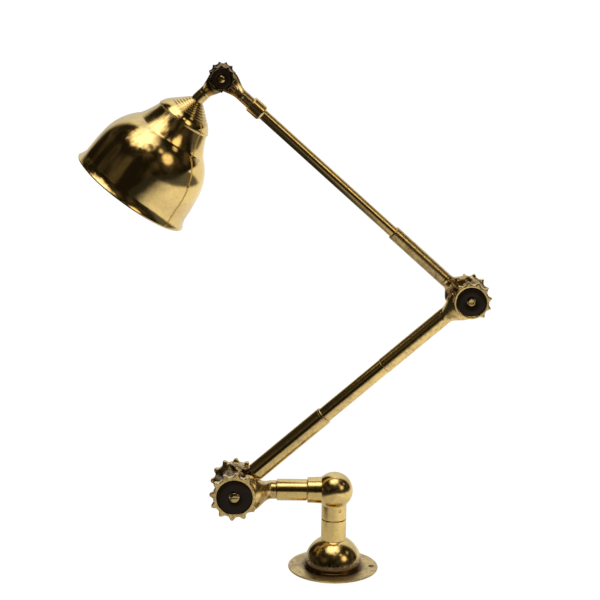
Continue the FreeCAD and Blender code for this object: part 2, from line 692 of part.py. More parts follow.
def head_front_knuckle():
    # The shank bends at the top of the cap, so that the shade hangs a little steeper. Its
    # hollow stem goes on through the cap to the lampholder.
    half = joint_half(HEAD, FRONT, HEAD_SHANK_ANGLE, teeth_from(HEAD_FRONT_TOOTH, (7, 8)),
                      HEAD_SHANK_RADIUS, HEAD_SHANK_REACH, HEAD_FRONT_NECK, HEAD_WIRE_BORE)
    shade_axis = heading(SHADE_ANGLE)
    stem_end = RIM_CENTRE - shade_axis * (HOLDER_TOP - HOLDER_ROOF)
    body = moved(half, HEAD_PIN).fuse(Part.makeSphere(HEAD_SHANK_RADIUS, HEAD_BEND))
    body = body.fuse(rod(HEAD_BEND, CAP_APEX, HEAD_SHANK_RADIUS)).cut(below_cap())
    body = body.fuse(rod(HEAD_BEND, stem_end, HOLDER_STEM_RADIUS))
    passage = rod(HEAD_BEND, stem_end + shade_axis, HEAD_WIRE_BORE)
    before_bend = HEAD_BEND - heading(HEAD_SHANK_ANGLE) * (HEAD_SHANK_RADIUS + OVERRUN)
    passage = passage.fuse(rod(before_bend, HEAD_BEND, HEAD_WIRE_BORE))
    return body.cut(passage.fuse(Part.makeSphere(HEAD_WIRE_BORE, HEAD_BEND)))


def below_cap():
    # What the round of the bend would push through the top of the cap.
    start = CAP_APEX
    end = start + heading(SHADE_ANGLE) * 2 * HEAD_SHANK_RADIUS
    return rod(start, end, 2 * HEAD_SHANK_RADIUS)


def moved(shape, place):
    copy = shape.copy()
    copy.translate(place)
    return copy


def black_disc(cog, side, pin):
    # A gently domed washer that fills the recess round a screw head or nut.
    outer = cog.recess - DISC_GAP
    inner = cog.head + HEAD_GAP
    floor = cog.half - RECESS_DEPTH
    edge = cog.half - DISC_EDGE
    crown = ((outer + inner) / 2, edge + DISC_CROWN)
    points = [(inner, floor), (outer, floor), (outer, edge), (inner, edge, crown)]
    return moved(revolved([flipped(point, side) for point in points], Y_AXIS), pin)


def pivot_screw(cog, pin, slotted):
    # The screw's head shows in the front face. Its shank runs through both halves.
    floor = cog.half - RECESS_DEPTH
    top = cog.half + HEAD_PROUD
    edge = cog.half + HEAD_PROUD * HEAD_EDGE_SHARE
    end = floor + WASHER_THICKNESS + SPRING_THICKNESS + nut_height(cog) * NUT_GRIP_SHARE
    screw = revolved([
        (0, end),
        (cog.pin, end),
        (cog.pin, -floor),
        (cog.head, -floor),
        (cog.head, -edge),
        (cog.head * 0.2, -top, (cog.head * 0.7, -(edge + (top - edge) * 0.72))),
        (0, -top)], Y_AXIS)
    if slotted:
        width = cog.head * SLOT_SHARE
        corner = vector(-2 * cog.head, -top - FIT, -width / 2)
        screw = screw.cut(Part.makeBox(4 * cog.head, SLOT_DEPTH, width, corner))
    return moved(screw, pin)


def nut_height(cog):
    return RECESS_DEPTH + HEAD_PROUD - WASHER_THICKNESS - SPRING_THICKNESS


def cap_nut(cog, pin):
    # A closed hexagon nut with a domed end, on the rear face.
    low = cog.half - RECESS_DEPTH + WASHER_THICKNESS + SPRING_THICKNESS
    high = cog.half + HEAD_PROUD
    bar = hexagon(cog.head * sqrt(3), low, high)
    dome = revolved([
        (0, low),
        (cog.head, low),
        (cog.head, low + (high - low) * 0.35),
        (0, high, (cog.head * 0.72, low + (high - low) * 0.82))])
    nut = bar.common(dome)
    bore_end = low + nut_height(cog) * NUT_GRIP_SHARE + WASHER_EDGE_GAP
    nut = nut.cut(Part.makeCylinder(cog.pin + FIT, bore_end - low, vector(0, 0, low)))
    nut.rotate(ORIGIN, X_AXIS, -90)
    return moved(nut, pin)


def friction_washer(cog, pin):
    # The fibre ring between the halves, which holds the joint where it is put.
    outer = cog.waist - WASHER_EDGE_GAP
    inner = cog.chamber + WASHER_EDGE_GAP
    return moved(ring(outer, inner, -HALF_GAP, HALF_GAP, Y_AXIS), pin)


def nut_washer(cog, pin):
    low = cog.half - RECESS_DEPTH
    return moved(ring(cog.head, cog.pin + FIT, low, low + WASHER_THICKNESS, Y_AXIS), pin)


def spring_washer(cog, pin):
    # A split ring under the nut.
    low = cog.half - RECESS_DEPTH + WASHER_THICKNESS
    outer = cog.head * 0.92
    washer = ring(outer, cog.pin + FIT, low, low + SPRING_THICKNESS, Y_AXIS)
    corner = vector(0, low, -SPRING_SPLIT / 2)
    split = Part.makeBox(2 * outer, SPRING_THICKNESS, SPRING_SPLIT, corner)
    return moved(washer.cut(split), pin)


# Arms

def lower_arm_sleeve():
    inner = LOWER_TUBE_RADIUS + FIT
    chamfer = (SLEEVE_RADIUS - inner) * 0.4
    sleeve = revolved([
        (inner, SLEEVE_START),
        (SLEEVE_RADIUS, SLEEVE_START),
        (SLEEVE_RADIUS, SLEEVE_END - chamfer),
        (SLEEVE_RADIUS - chamfer, SLEEVE_END),
        (inner, SLEEVE_END)])
    return place_on_axis(sleeve, SHOULDER_PIN, LOWER_AXIS_ANGLE)


def lower_arm_tube():
    start = SLEEVE_START + SOCKET_DEPTH + 1
    tube = ring(LOWER_TUBE_RADIUS, LOWER_TUBE_RADIUS - LOWER_TUBE_WALL, start, LOWER_TUBE_END)
    return place_on_axis(tube, SHOULDER_PIN, LOWER_AXIS_ANGLE)


def upper_arm_tube():
    start = FOREARM_SHANK_END - SOCKET_DEPTH
    end = UPPER_AXIS_LENGTH - (UPPER_COLLAR_START + UPPER_COLLAR_END) / 2 - 1
    tube = ring(UPPER_TUBE_RADIUS, UPPER_TUBE_RADIUS - UPPER_TUBE_WALL, start, end)
    return place_on_axis(tube, FOREARM_START, UPPER_AXIS_ANGLE)


def upper_arm_collar():
    low = UPPER_AXIS_LENGTH - UPPER_COLLAR_START
    high = UPPER_AXIS_LENGTH - UPPER_COLLAR_END
    inner = UPPER_TUBE_RADIUS + FIT
    chamfer = UPPER_COLLAR_CHAMFER
    collar = revolved([
        (inner, low),
        (UPPER_COLLAR_RADIUS - chamfer, low),
        (UPPER_COLLAR_RADIUS, low + chamfer),
        (UPPER_COLLAR_RADIUS, high - chamfer),
        (UPPER_COLLAR_RADIUS - chamfer, high),
        (inner, high)])
    return place_on_axis(collar, FOREARM_START, UPPER_AXIS_ANGLE)


def wire_pair(start, angle, low, high):
    # Two insulated wires side by side.
    run = heading(angle)
    beside = heading(angle + 90) * (WIRE_RADIUS + 0.1)
    first = rod(start + run * low + beside, start + run * high + beside, WIRE_RADIUS)
    second = rod(start + run * low - beside, start + run * high - beside, WIRE_RADIUS)
    return Part.makeCompound([first, second])


def base_wires():
    return wire_pair(ORIGIN, 90, BASE_WIRE_START, SWIVEL_HEIGHT + STEM_RISE)


def stub_wires():
    end = SHOULDER_REACH - SHOULDER.tip - 4 * WIRE_BORE
    return wire_pair(vector(0, 0, STUB_HEIGHT), 180, 0, end)


def lower_arm_wires():
    start = SHOULDER.tip + 4 * WIRE_BORE
    end = LOWER_AXIS_LENGTH - ELBOW.tip - 4 * WIRE_BORE
    return wire_pair(SHOULDER_PIN, LOWER_AXIS_ANGLE, start, end)


def upper_arm_wires():
    start = ELBOW.tip + 4 * WIRE_BORE
    end = UPPER_AXIS_LENGTH - UPPER_COLLAR_START
    return wire_pair(FOREARM_START, UPPER_AXIS_ANGLE, start, end)


# Shade, cap, lampholder and bulb. Each is turned round Z with the rim plane at zero
# and the cap upwards, and is then laid on the axis of the shade.

def on_shade_axis(shape):
    return place_on_axis(shape, RIM_CENTRE, SHADE_ANGLE + 180)


def outward(start, end):
    # The outer side of a line that leads down the outline of the shade.
    run = end.sub(start)
    return vector(-run.z, 0, run.x).normalize()


def outline(corners, bulges):
    # A line through the corners. Each run swells out by its bulge, as an arc.
    edges = []
    for start, end, bulge in zip(corners, corners[1:], bulges):
        if bulge:
            middle = (start + end) * 0.5 + outward(start, end) * bulge
            edges.append(Part.Arc(start, middle, end).toShape())
        else:
            edges.append(Part.makeLine(start, end))
    return edges


def moved_in(corners, wall):
    # The corners of the inner surface, each square to the runs beside it.
    sides = [outward(start, end) for start, end in zip(corners, corners[1:])]
    inner = []
    for corner, before, after in zip(corners, sides[:1] + sides, sides + sides[-1:]):
        between = (before + after).normalize()
        inner.append(corner - between * (wall / between.dot(after)))
    return inner


def shell(corners, bulges, wall):
    # A wall of even thickness, turned round Z.
    inner = moved_in(corners, wall)
    edges = outline(corners, bulges) + outline(inner, bulges)
    edges.append(Part.makeLine(corners[0], inner[0]))
    edges.append(Part.makeLine(corners[-1], inner[-1]))
    return Part.Face(Part.Wire(Part.__sortEdges__(edges))).revolve(ORIGIN, Z_AXIS, 360)


def shade():
    # From the shelf under the cap down the neck and the bell to a rolled rim.
    corners = [
        vector(HOLDER_RADIUS + HOLDER_WALL, 0, SEAM_HEIGHT),
        vector(SEAM_RADIUS - SEAM_CHAMFER, 0, SEAM_HEIGHT),
        vector(SEAM_RADIUS, 0, SEAM_HEIGHT - SEAM_CHAMFER),
        vector(NECK_RADIUS, 0, NECK_HEIGHT),
        vector(BELL_RADIUS, 0, BELL_HEIGHT),
        vector(WALL_RADIUS, 0, WALL_HEIGHT),
        vector(RIM_RADIUS, 0, RIM_BEAD)]
    bell = shell(corners, (0, 0, NECK_BULGE, BELL_BULGE, WALL_BULGE, FLARE_BULGE), SHADE_WALL)
    bead = Part.makeTorus(RIM_RADIUS - SHADE_WALL / 2, RIM_BEAD, vector(0, 0, RIM_BEAD))
    return on_shade_axis(bell.fuse(bead))


def shade_cap():
    # A spun cap over the lampholder, with fine turned grooves round its cone.
    hole = HOLDER_STEM_RADIUS + FIT
    top = vector(CAP_TOP_RADIUS, 0, SHADE_HEIGHT)
    knee = vector(CAP_KNEE_RADIUS, 0, CAP_KNEE_HEIGHT)
    corners = [
        vector(hole, 0, SHADE_HEIGHT),
        top,
        knee,
        vector(SEAM_RADIUS, 0, SEAM_HEIGHT + CAP_SKIRT),
        vector(SEAM_RADIUS, 0, SEAM_HEIGHT)]
    cap = shell(corners, (0, 0, CAP_KNEE_BULGE, 0), SHADE_WALL)
    cap = cap.fuse(ring(SEAM_RADIUS + CAP_BEAD, SEAM_RADIUS - SHADE_WALL / 2, SEAM_HEIGHT,
                        SEAM_HEIGHT + CAP_BEAD_HEIGHT))
    for index in range(CAP_GROOVES):
        spread = index / (CAP_GROOVES - 1)
        share = CAP_GROOVE_FIRST + (CAP_GROOVE_LAST - CAP_GROOVE_FIRST) * spread
        cap = cap.cut(cap_groove(top + (knee - top) * share, outward(top, knee) * -1))
    return on_shade_axis(cap)


def cap_groove(spot, inward):
    # A V-shaped groove round the Z axis, cut square to the slope.
    along = vector(-inward.z, 0, inward.x)
    deep = spot + inward * CAP_GROOVE_DEPTH
    mouth = spot - inward * CAP_GROOVE_DEPTH
    width = 2 * CAP_GROOVE_DEPTH
    corners = [deep, mouth + along * width, mouth - along * width, deep]
    return Part.Face(Part.makePolygon(corners)).revolve(ORIGIN, Z_AXIS, 360)


def cap_lock_nut():
    high = SHADE_HEIGHT - SHADE_WALL
    low = high - TOP_NUT_HEIGHT
    nut = hexagon(TOP_NUT_FLATS, low, high)
    nut = nut.cut(Part.makeCylinder(HOLDER_STEM_RADIUS + FIT, high - low, vector(0, 0, low)))
    return on_shade_axis(nut)


def lampholder_cap():
    # The brass top of the lampholder, screwed to the hollow stem.
    low = SEAM_HEIGHT + HOLDER_FLANGE_THICKNESS
    inner = HOLDER_RADIUS - HOLDER_CAP_WALL
    hole = HOLDER_STEM_RADIUS + FIT
    cap = revolved([
        (inner, low),
        (HOLDER_RADIUS, low),
        (HOLDER_RADIUS, HOLDER_TOP - HOLDER_CHAMFER),
        (HOLDER_RADIUS - HOLDER_CHAMFER, HOLDER_TOP),
        (hole, HOLDER_TOP),
        (hole, HOLDER_TOP - HOLDER_ROOF),
        (hole + 2 * HOLDER_CAP_WALL, HOLDER_TOP - HOLDER_ROOF),
        (hole + 2 * HOLDER_CAP_WALL, HOLDER_TOP - HOLDER_CAP_WALL),
        (inner - HOLDER_CHAMFER, HOLDER_TOP - HOLDER_CAP_WALL),
        (inner, HOLDER_TOP - HOLDER_CAP_WALL - HOLDER_CHAMFER)])
    return on_shade_axis(cap)


def lampholder_skirt():
    flange_low = SEAM_HEIGHT
    flange_high = SEAM_HEIGHT + HOLDER_FLANGE_THICKNESS
    inner = HOLDER_RADIUS - HOLDER_WALL
    skirt = revolved([
        (inner, HOLDER_BOTTOM),
        (HOLDER_RADIUS, HOLDER_BOTTOM),
        (HOLDER_RADIUS, flange_low),
        (HOLDER_FLANGE_RADIUS, flange_low),
        (HOLDER_FLANGE_RADIUS, flange_high),
        (inner, flange_high)])
    return on_shade_axis(skirt)


def shade_ring():
    high = SEAM_HEIGHT - SHADE_WALL
    shape = ring(SHADE_RING_RADIUS, HOLDER_RADIUS + FIT, high - SHADE_RING_HEIGHT, high)
    for index in range(8):
        angle = index * pi / 4
        notch = Part.makeCylinder(1.6, SHADE_RING_HEIGHT, vector(SHADE_RING_RADIUS * cos(angle),
                                  SHADE_RING_RADIUS * sin(angle), high - SHADE_RING_HEIGHT))
        shape = shape.cut(notch)
    return on_shade_axis(shape)


def lampholder_insulator():
    # The ceramic disc that carries the contacts, inside the top of the holder.
    low = BULB_TOP + INSULATOR_GAP
    disc = ring(HOLDER_RADIUS - HOLDER_WALL - 0.1, 2.0, low, HOLDER_TOP - HOLDER_ROOF - 0.5)
    return on_shade_axis(disc)


def lampholder_screw_shell():
    low = HOLDER_BOTTOM + 6
    inner = SCREW_SHELL_RADIUS - SCREW_SHELL_WALL
    high = BULB_TOP + INSULATOR_GAP
    shell = ring(SCREW_SHELL_RADIUS, inner, low, high)
    return on_shade_axis(shell)


def lampholder_contact():
    # The springy tongue that touches the tip of the bulb.
    high = BULB_TOP + INSULATOR_GAP
    return on_shade_axis(ring(4.0, 0.8, BULB_TOP, high))


def bulb_cap():
    low = BULB_TOP - BULB_CAP_LENGTH
    tip = 4.6
    return on_shade_axis(revolved([
        (0, BULB_TOP),
        (tip, BULB_TOP),
        (tip + 1, BULB_TOP - 1.6),
        (BULB_CAP_RADIUS - 1.5, BULB_TOP - 4),
        (BULB_CAP_RADIUS, BULB_TOP - 5.5),
        (BULB_CAP_RADIUS, low),
        (BULB_CAP_RADIUS - 0.5, low),
        (BULB_CAP_RADIUS - 0.5, BULB_TOP - 7),
        (0, BULB_TOP - 5)]))


def bulb_glass():
    # A small round bulb: a ball that runs into a neck held by the screw cap.
    neck_top = BULB_TOP - BULB_CAP_LENGTH + 4
    neck = BULB_CAP_RADIUS - 0.5 - FIT
    neck_foot = BULB_TOP - BULB_CAP_LENGTH - 1
    wall = BULB_GLASS_WALL
    inner = BULB_RADIUS - wall
    up = sqrt(1 - BULB_JOIN_SHARE ** 2)
    down = sqrt(1 - BULB_SIDE_SHARE ** 2)
    return on_shade_axis(revolved([
        (0, BULB_CENTRE - BULB_RADIUS),
        (BULB_RADIUS * BULB_JOIN_SHARE, BULB_SHOULDER,
         (BULB_RADIUS * BULB_SIDE_SHARE, BULB_CENTRE - BULB_RADIUS * down)),
        (neck, neck_foot),
        (neck, neck_top),
        (neck - wall, neck_top),
        (neck - wall, neck_foot),
        (inner * BULB_JOIN_SHARE, BULB_CENTRE + inner * up),
        (0, BULB_CENTRE - inner, (inner * BULB_SIDE_SHARE, BULB_CENTRE - inner * down))]))


def main():
    pieces = {
        "base_flange": base_flange(),
        "base_dome": base_dome(),
        "post_sleeve": post_sleeve(),
        "swivel_stem": swivel_stem(),
        "post_washer": post_washer(),
        "post_nut": post_nut(),
        "base_wires": base_wires(),
        "ball_elbow": ball_elbow(),
        "swivel_grub_screw": swivel_grub_screw(),
        "stub_barrel": stub_barrel(),
        "stub_nipple": stub_nipple(),
        "stub_wires": stub_wires(),
        "shoulder_front_knuckle": shoulder_front_knuckle(),
        "shoulder_rear_knuckle": shoulder_rear_knuckle(),
        "lower_arm_sleeve": lower_arm_sleeve(),
        "lower_arm_tube": lower_arm_tube(),
        "lower_arm_wires": lower_arm_wires(),
        "elbow_front_knuckle": elbow_front_knuckle(),
        "elbow_rear_knuckle": elbow_rear_knuckle(),
        "upper_arm_tube": upper_arm_tube(),
        "upper_arm_collar": upper_arm_collar(),
        "upper_arm_wires": upper_arm_wires(),
        "head_rear_knuckle": head_rear_knuckle(),
        "head_front_knuckle": head_front_knuckle(),
        "shade_cap": shade_cap(),
        "cap_lock_nut": cap_lock_nut(),
        "shade": shade(),
        "shade_ring": shade_ring(),
        "lampholder_cap": lampholder_cap(),
        "lampholder_skirt": lampholder_skirt(),
        "lampholder_insulator": lampholder_insulator(),
        "lampholder_screw_shell": lampholder_screw_shell(),
        "lampholder_contact": lampholder_contact(),
        "bulb_cap": bulb_cap(),
        "bulb_glass": bulb_glass(),
    }
    joints = [
        ("shoulder", SHOULDER, SHOULDER_PIN, True),
        ("elbow", ELBOW, ELBOW_PIN, False),
        ("head", HEAD, HEAD_PIN, True)]
    for name, cog, pin, slotted in joints:
        pieces[name + "_front_disc"] = black_disc(cog, FRONT, pin)
        pieces[name + "_rear_disc"] = black_disc(cog, REAR, pin)
        pieces[name + "_pivot_screw"] = pivot_screw(cog, pin, slotted)
        pieces[name + "_friction_washer"] = friction_washer(cog, pin)
        pieces[name + "_nut_washer"] = nut_washer(cog, pin)
        pieces[name + "_spring_washer"] = spring_washer(cog, pin)
        pieces[name + "_cap_nut"] = cap_nut(cog, pin)
    for node, shape in pieces.items():
        save(solid_of(shape), node)
        print(node, len(shape.Solids), round(shape.Volume, 1), shape.isValid())


main()
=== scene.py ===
import bpy
import bmesh
import json
from math import asin, atan2, cos, pi, radians, sin
from bpy.props import FloatProperty, FloatVectorProperty, PointerProperty
from bpy.types import Operator, Panel, PropertyGroup
from mathutils import Matrix, Vector


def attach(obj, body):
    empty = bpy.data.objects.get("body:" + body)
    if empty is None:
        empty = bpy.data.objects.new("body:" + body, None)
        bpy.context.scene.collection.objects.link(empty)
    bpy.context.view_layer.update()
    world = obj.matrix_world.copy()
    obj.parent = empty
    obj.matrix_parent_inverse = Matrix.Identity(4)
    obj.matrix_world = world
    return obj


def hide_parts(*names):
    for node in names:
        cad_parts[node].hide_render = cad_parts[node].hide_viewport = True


# The looks of a swing arm wall light in old polished brass: finer pieces in place of the
# plain ones of its frame, finishes for every piece, a pale studio and a camera.
# Places and materials are in metres, outlines in millimetres and angles in degrees, in the
# frame's own axes: +Z leads away from the mounting face, and the arms swing in the X-Z
# plane. The camera looks along +Y.

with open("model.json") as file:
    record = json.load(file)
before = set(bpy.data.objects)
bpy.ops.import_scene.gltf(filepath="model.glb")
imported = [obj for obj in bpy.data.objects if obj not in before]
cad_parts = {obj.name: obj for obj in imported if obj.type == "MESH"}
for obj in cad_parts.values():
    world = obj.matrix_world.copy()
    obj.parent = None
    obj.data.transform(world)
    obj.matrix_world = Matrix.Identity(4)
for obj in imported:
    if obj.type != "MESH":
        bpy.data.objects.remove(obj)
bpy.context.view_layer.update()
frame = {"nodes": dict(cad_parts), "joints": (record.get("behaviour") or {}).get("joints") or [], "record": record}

bl_info = {
    "name": "Swing arm wall light",
    "version": (1, 0, 0),
    "blender": (4, 5, 0),
    "location": "3D View > Sidebar > Wall light",
    "description": "Detailed pieces and finishes for a brass swing arm wall light",
    "category": "Object",
}

MM = 0.001

# Places that the frame gives

PIN = {joint["name"]: Vector(joint["pos_m"]) for joint in frame["joints"]}
SHOULDER_PIN = PIN["shoulder"]
ELBOW_PIN = PIN["elbow"]
HEAD_PIN = PIN["head_tilt"]
BODY = {node: body for body, nodes in frame["record"]["behaviour"]["bodies"].items()
        for node in nodes}

# Places that only the outline of the pieces gives

LOWER_ARM_OFFSET = 0.0024   # how far the lower arm's axis passes inside the elbow pin
UPPER_ARM_OFFSET = 0.0037   # the same for the upper arm
HEAD_SHANK_REACH = 0.0372   # from the head pin to the bend of its shank
HEAD_SHANK_ANGLE = 223.6
HEAD_NECK = 0.003           # from that bend to the top of the cap
SHADE_ANGLE = 234.6         # where the mouth of the shade points
SHADE_HEIGHT = 0.1345       # from the rim to the top of the cap


def heading(angle):
    """A unit vector in the plane of the arms."""
    return Vector((cos(radians(angle)), 0.0, sin(radians(angle))))


def axis_between(first, second, offset):
    """The direction of an arm whose axis passes beside its far pin."""
    run = second - first
    angle = atan2(run.z, run.x) + asin(offset / run.length)
    return Vector((cos(angle), 0.0, sin(angle)))


LOWER_AXIS = axis_between(SHOULDER_PIN, ELBOW_PIN, LOWER_ARM_OFFSET)
UPPER_AXIS = axis_between(ELBOW_PIN, HEAD_PIN, -UPPER_ARM_OFFSET)
FOREARM_START = ELBOW_PIN + Vector((-UPPER_AXIS.z, 0.0, UPPER_AXIS.x)) * UPPER_ARM_OFFSET
HEAD_BEND = HEAD_PIN + heading(HEAD_SHANK_ANGLE) * HEAD_SHANK_REACH
RIM_CENTRE = HEAD_BEND + heading(SHADE_ANGLE) * (HEAD_NECK + SHADE_HEIGHT)
STUB_CENTRE = Vector((0.0, 0.0, SHOULDER_PIN.z))


class Axis:
    """A line that a piece is turned round: where its height is zero and which way it rises."""

    def __init__(self, place, direction):
        self.place = Vector(place)
        self.direction = Vector(direction).normalized()
        self.turn = Vector((0, 0, 1)).rotation_difference(self.direction)
        self.matrix = Matrix.Translation(self.place) @ self.turn.to_matrix().to_4x4()
        self.inverse = self.matrix.inverted()


FRONT = Vector((0, -1, 0))
REAR = Vector((0, 1, 0))
POST = Axis((0, 0, 0), (0, 0, 1))
STUB = Axis(STUB_CENTRE, (-1, 0, 0))
LOWER = Axis(SHOULDER_PIN, LOWER_AXIS)
UPPER = Axis(FOREARM_START, UPPER_AXIS)
SHADE = Axis(RIM_CENTRE, -heading(SHADE_ANGLE))
HEAD_SHANK = Axis(HEAD_PIN, heading(HEAD_SHANK_ANGLE))
JOINTS = {"shoulder": SHOULDER_PIN, "elbow": ELBOW_PIN, "head": HEAD_PIN}


# The flange, in millimetres, with the places of its screw holes

FLANGE_BORE = 26.0
SCREW_CIRCLE = 47.0
SCREW_AZIMUTH = -1.5
SCREW_HOLE_RADIUS = 3.4
SCREW_HOLES = [(SCREW_CIRCLE * cos(radians(SCREW_AZIMUTH + 120 * index)),
                SCREW_CIRCLE * sin(radians(SCREW_AZIMUTH + 120 * index))) for index in range(3)]


# Settings that a user would change

def colour(name, description, default):
    """A colour that a user would change."""
    return FloatVectorProperty(name=name, description=description, subtype="COLOR", size=3,
                               default=default, min=0.0, max=1.0)


class WallLightFinish(PropertyGroup):
    brass: colour("Brass", "Colour of the polished metal", (0.80, 0.60, 0.24))
    worn_brass: colour("Worn brass", "Colour where the polish has dulled", (0.50, 0.375, 0.19))
    # This colour also paints the shade in the hollows, the creases and at the foot of the dome.
    tarnish_and_shade: colour("Tarnish", "Colour of the brown stains and hollows", (0.085, 0.045, 0.020))
    black: colour("Black", "Colour of the discs in the joints", (0.010, 0.006, 0.003))
    bulb: colour("Bulb", "Colour of the frosted bulb", (0.86, 0.85, 0.81))
    ring_spacing: FloatProperty(
        name="Turning marks", description="Distance between the fine turned lines",
        default=0.0006, min=0.0001, max=0.005, subtype="DISTANCE", unit="LENGTH")


class WallLightStudio(PropertyGroup):
    target: FloatVectorProperty(
        name="Target", description="Point that the camera looks at", subtype="TRANSLATION",
        unit="LENGTH", size=3, default=(-0.0455, 0.0, 0.3389))
    distance: FloatProperty(
        name="Distance", description="From the camera to its target", default=2.64775,
        min=0.5, unit="LENGTH", subtype="DISTANCE")
    azimuth: FloatProperty(
        name="Azimuth", description="Turn of the view from +Y towards +X, in degrees",
        default=0.8)
    elevation: FloatProperty(
        name="Elevation", description="How far the camera looks down, in degrees", default=14.9)
    roll: FloatProperty(
        name="Roll", description="Turn of the picture, clockwise, in degrees", default=0.9)
    lens: FloatProperty(
        name="Lens", description="Focal length in millimetres", default=133.5, min=10.0)
    key_power: FloatProperty(
        name="Key light", description="Power of the softbox above the camera, in watts",
        default=13.0, min=0.0)


# Short ways to build node trees

def feed(tree, socket, value):
    """Sets a socket, or links it where the value is another node's output."""
    if isinstance(value, bpy.types.NodeSocket):
        tree.links.new(value, socket)
    else:
        socket.default_value = value


def add(tree, kind, inputs=None, **settings):
    """A new node with its settings and inputs."""
    made = tree.nodes.new(kind)
    for name, value in settings.items():
        setattr(made, name, value)
    for name, value in (inputs or {}).items():
        feed(tree, made.inputs[name], value)
    return made


def calc(tree, operation, first, second=0.0, third=0.0):
    return add(tree, "ShaderNodeMath", {0: first, 1: second, 2: third},
               operation=operation).outputs[0]


def times(tree, first, second):
    return calc(tree, "MULTIPLY", first, second)


def plus(tree, first, second):
    return calc(tree, "ADD", first, second)


def most(tree, first, second):
    return calc(tree, "MAXIMUM", first, second)


def joined(tree, operation, first, second):
    """The vector that two vectors make."""
    return add(tree, "ShaderNodeVectorMath", {0: first, 1: second},
               operation=operation).outputs[0]


def split(tree, vector):
    return add(tree, "ShaderNodeSeparateXYZ", {0: vector}).outputs


def length(tree, vector):
    return add(tree, "ShaderNodeVectorMath", {0: vector}, operation="LENGTH").outputs["Value"]


def across(tree, parts):
    """The part of a vector that lies square to Z."""
    return add(tree, "ShaderNodeCombineXYZ", {"X": parts["X"], "Y": parts["Y"]}).outputs[0]


def ramp(tree, value, low, high, to_low=0.0, to_high=1.0, smooth=False):
    """Maps a range of a value to another, and holds it at the ends."""
    kind = "SMOOTHSTEP" if smooth else "LINEAR"
    return add(tree, "ShaderNodeMapRange", {
        "Value": value, "From Min": low, "From Max": high, "To Min": to_low,
        "To Max": to_high}, interpolation_type=kind).outputs["Result"]


def mix_colours(tree, share, first, second):
    mixer = add(tree, "ShaderNodeMix", data_type="RGBA")
    feed(tree, mixer.inputs[0], share)
    feed(tree, mixer.inputs[6], first if hasattr(first, "node") else opaque(first))
    feed(tree, mixer.inputs[7], second if hasattr(second, "node") else opaque(second))
    return mixer.outputs[2]


def mix_values(tree, share, first, second):
    mixer = add(tree, "ShaderNodeMix", data_type="FLOAT")
    feed(tree, mixer.inputs[0], share)
    feed(tree, mixer.inputs[2], first)
    feed(tree, mixer.inputs[3], second)
    return mixer.outputs[0]


def opaque(colour):
    return (colour[0], colour[1], colour[2], 1.0)


def noise(tree, vector, scale, detail=3.0, roughness=0.55, distortion=0.0):
    return add(tree, "ShaderNodeTexNoise", {
        "Vector": vector, "Scale": scale, "Detail": detail, "Roughness": roughness,
        "Distortion": distortion}).outputs["Fac"]


def group(name, values, result, build):
    """A node group that reads a vector and some values and puts out one value. Build gets
    the tree and the inputs."""
    if name in bpy.data.node_groups:
        return bpy.data.node_groups[name]
    tree = bpy.data.node_groups.new(name, "ShaderNodeTree")
    tree.interface.new_socket("Vector", in_out="INPUT", socket_type="NodeSocketVector")
    for label in values:
        tree.interface.new_socket(label, in_out="INPUT", socket_type="NodeSocketFloat")
    tree.interface.new_socket(result, in_out="OUTPUT", socket_type="NodeSocketFloat")
    entry = tree.nodes.new("NodeGroupInput")
    made = build(tree, entry.outputs)
    leave = tree.nodes.new("NodeGroupOutput")
    tree.links.new(made, leave.inputs[result])
    return tree


def place(tree, shared, inputs):
    """A copy of a shared effect inside a material."""
    made = tree.nodes.new("ShaderNodeGroup")
    made.node_tree = shared
    for name, value in inputs.items():
        feed(tree, made.inputs[name], value)
    return made.outputs


# Effects that more than one finish uses. Each reads a vector whose Z runs along the piece.

def turning_marks():
    def build(tree, given):
        parts = split(tree, given["Vector"])
        side = across(tree, parts)
        rings = add(tree, "ShaderNodeCombineXYZ", {
            "X": calc(tree, "DIVIDE", length(tree, side), given["Spacing"]),
            "Z": calc(tree, "DIVIDE", parts["Z"], given["Spacing"])}).outputs[0]
        drift = joined(tree, "ADD", rings, joined(tree, "MULTIPLY", side, (9, 9, 9)))
        fine = noise(tree, drift, 1.0, 2.0, 0.7)
        wide = noise(tree, drift, 0.12, 2.0, 0.5)
        return mix_values(tree, 0.45, fine, wide)
    return group("Turning marks", ["Spacing"], "Height", build)


def tarnish_patches():
    def build(tree, given):
        vector = given["Vector"]
        broad = noise(tree, vector, calc(tree, "DIVIDE", 1.0, given["Size"]), 4.0, 0.6, 0.6)
        fine = noise(tree, vector, calc(tree, "DIVIDE", 7.0, given["Size"]), 3.0, 0.65)
        both = plus(tree, broad, times(tree, fine, 0.35))
        edge = calc(tree, "SUBTRACT", 0.98, times(tree, given["Amount"], 0.4))
        return ramp(tree, both, edge, plus(tree, edge, 0.16), smooth=True)
    return group("Tarnish patches", ["Size", "Amount"], "Mask", build)


def fine_scratches():
    def build(tree, given):
        lines = None
        for index in range(3):
            turned = add(tree, "ShaderNodeMapping", {
                "Vector": given["Vector"],
                "Rotation": (0.5 + 1.1 * index, 0.9 * index, 0.3 + 0.7 * index),
                "Scale": (1.0, 0.12, 1.0)}).outputs[0]
            field = noise(tree, turned, calc(tree, "DIVIDE", 1.0, given["Spacing"]), 1.0, 0.4)
            away = calc(tree, "ABSOLUTE", calc(tree, "SUBTRACT", field, 0.5))
            line = ramp(tree, away, 0.0, 0.007, 1.0, 0.0)
            lines = line if lines is None else most(tree, lines, line)
        patches = noise(tree, given["Vector"], calc(tree, "DIVIDE", 0.25, given["Spacing"]), 1.0)
        return times(tree, lines, ramp(tree, patches, 0.5, 0.62))
    return group("Fine scratches", ["Spacing"], "Mask", build)


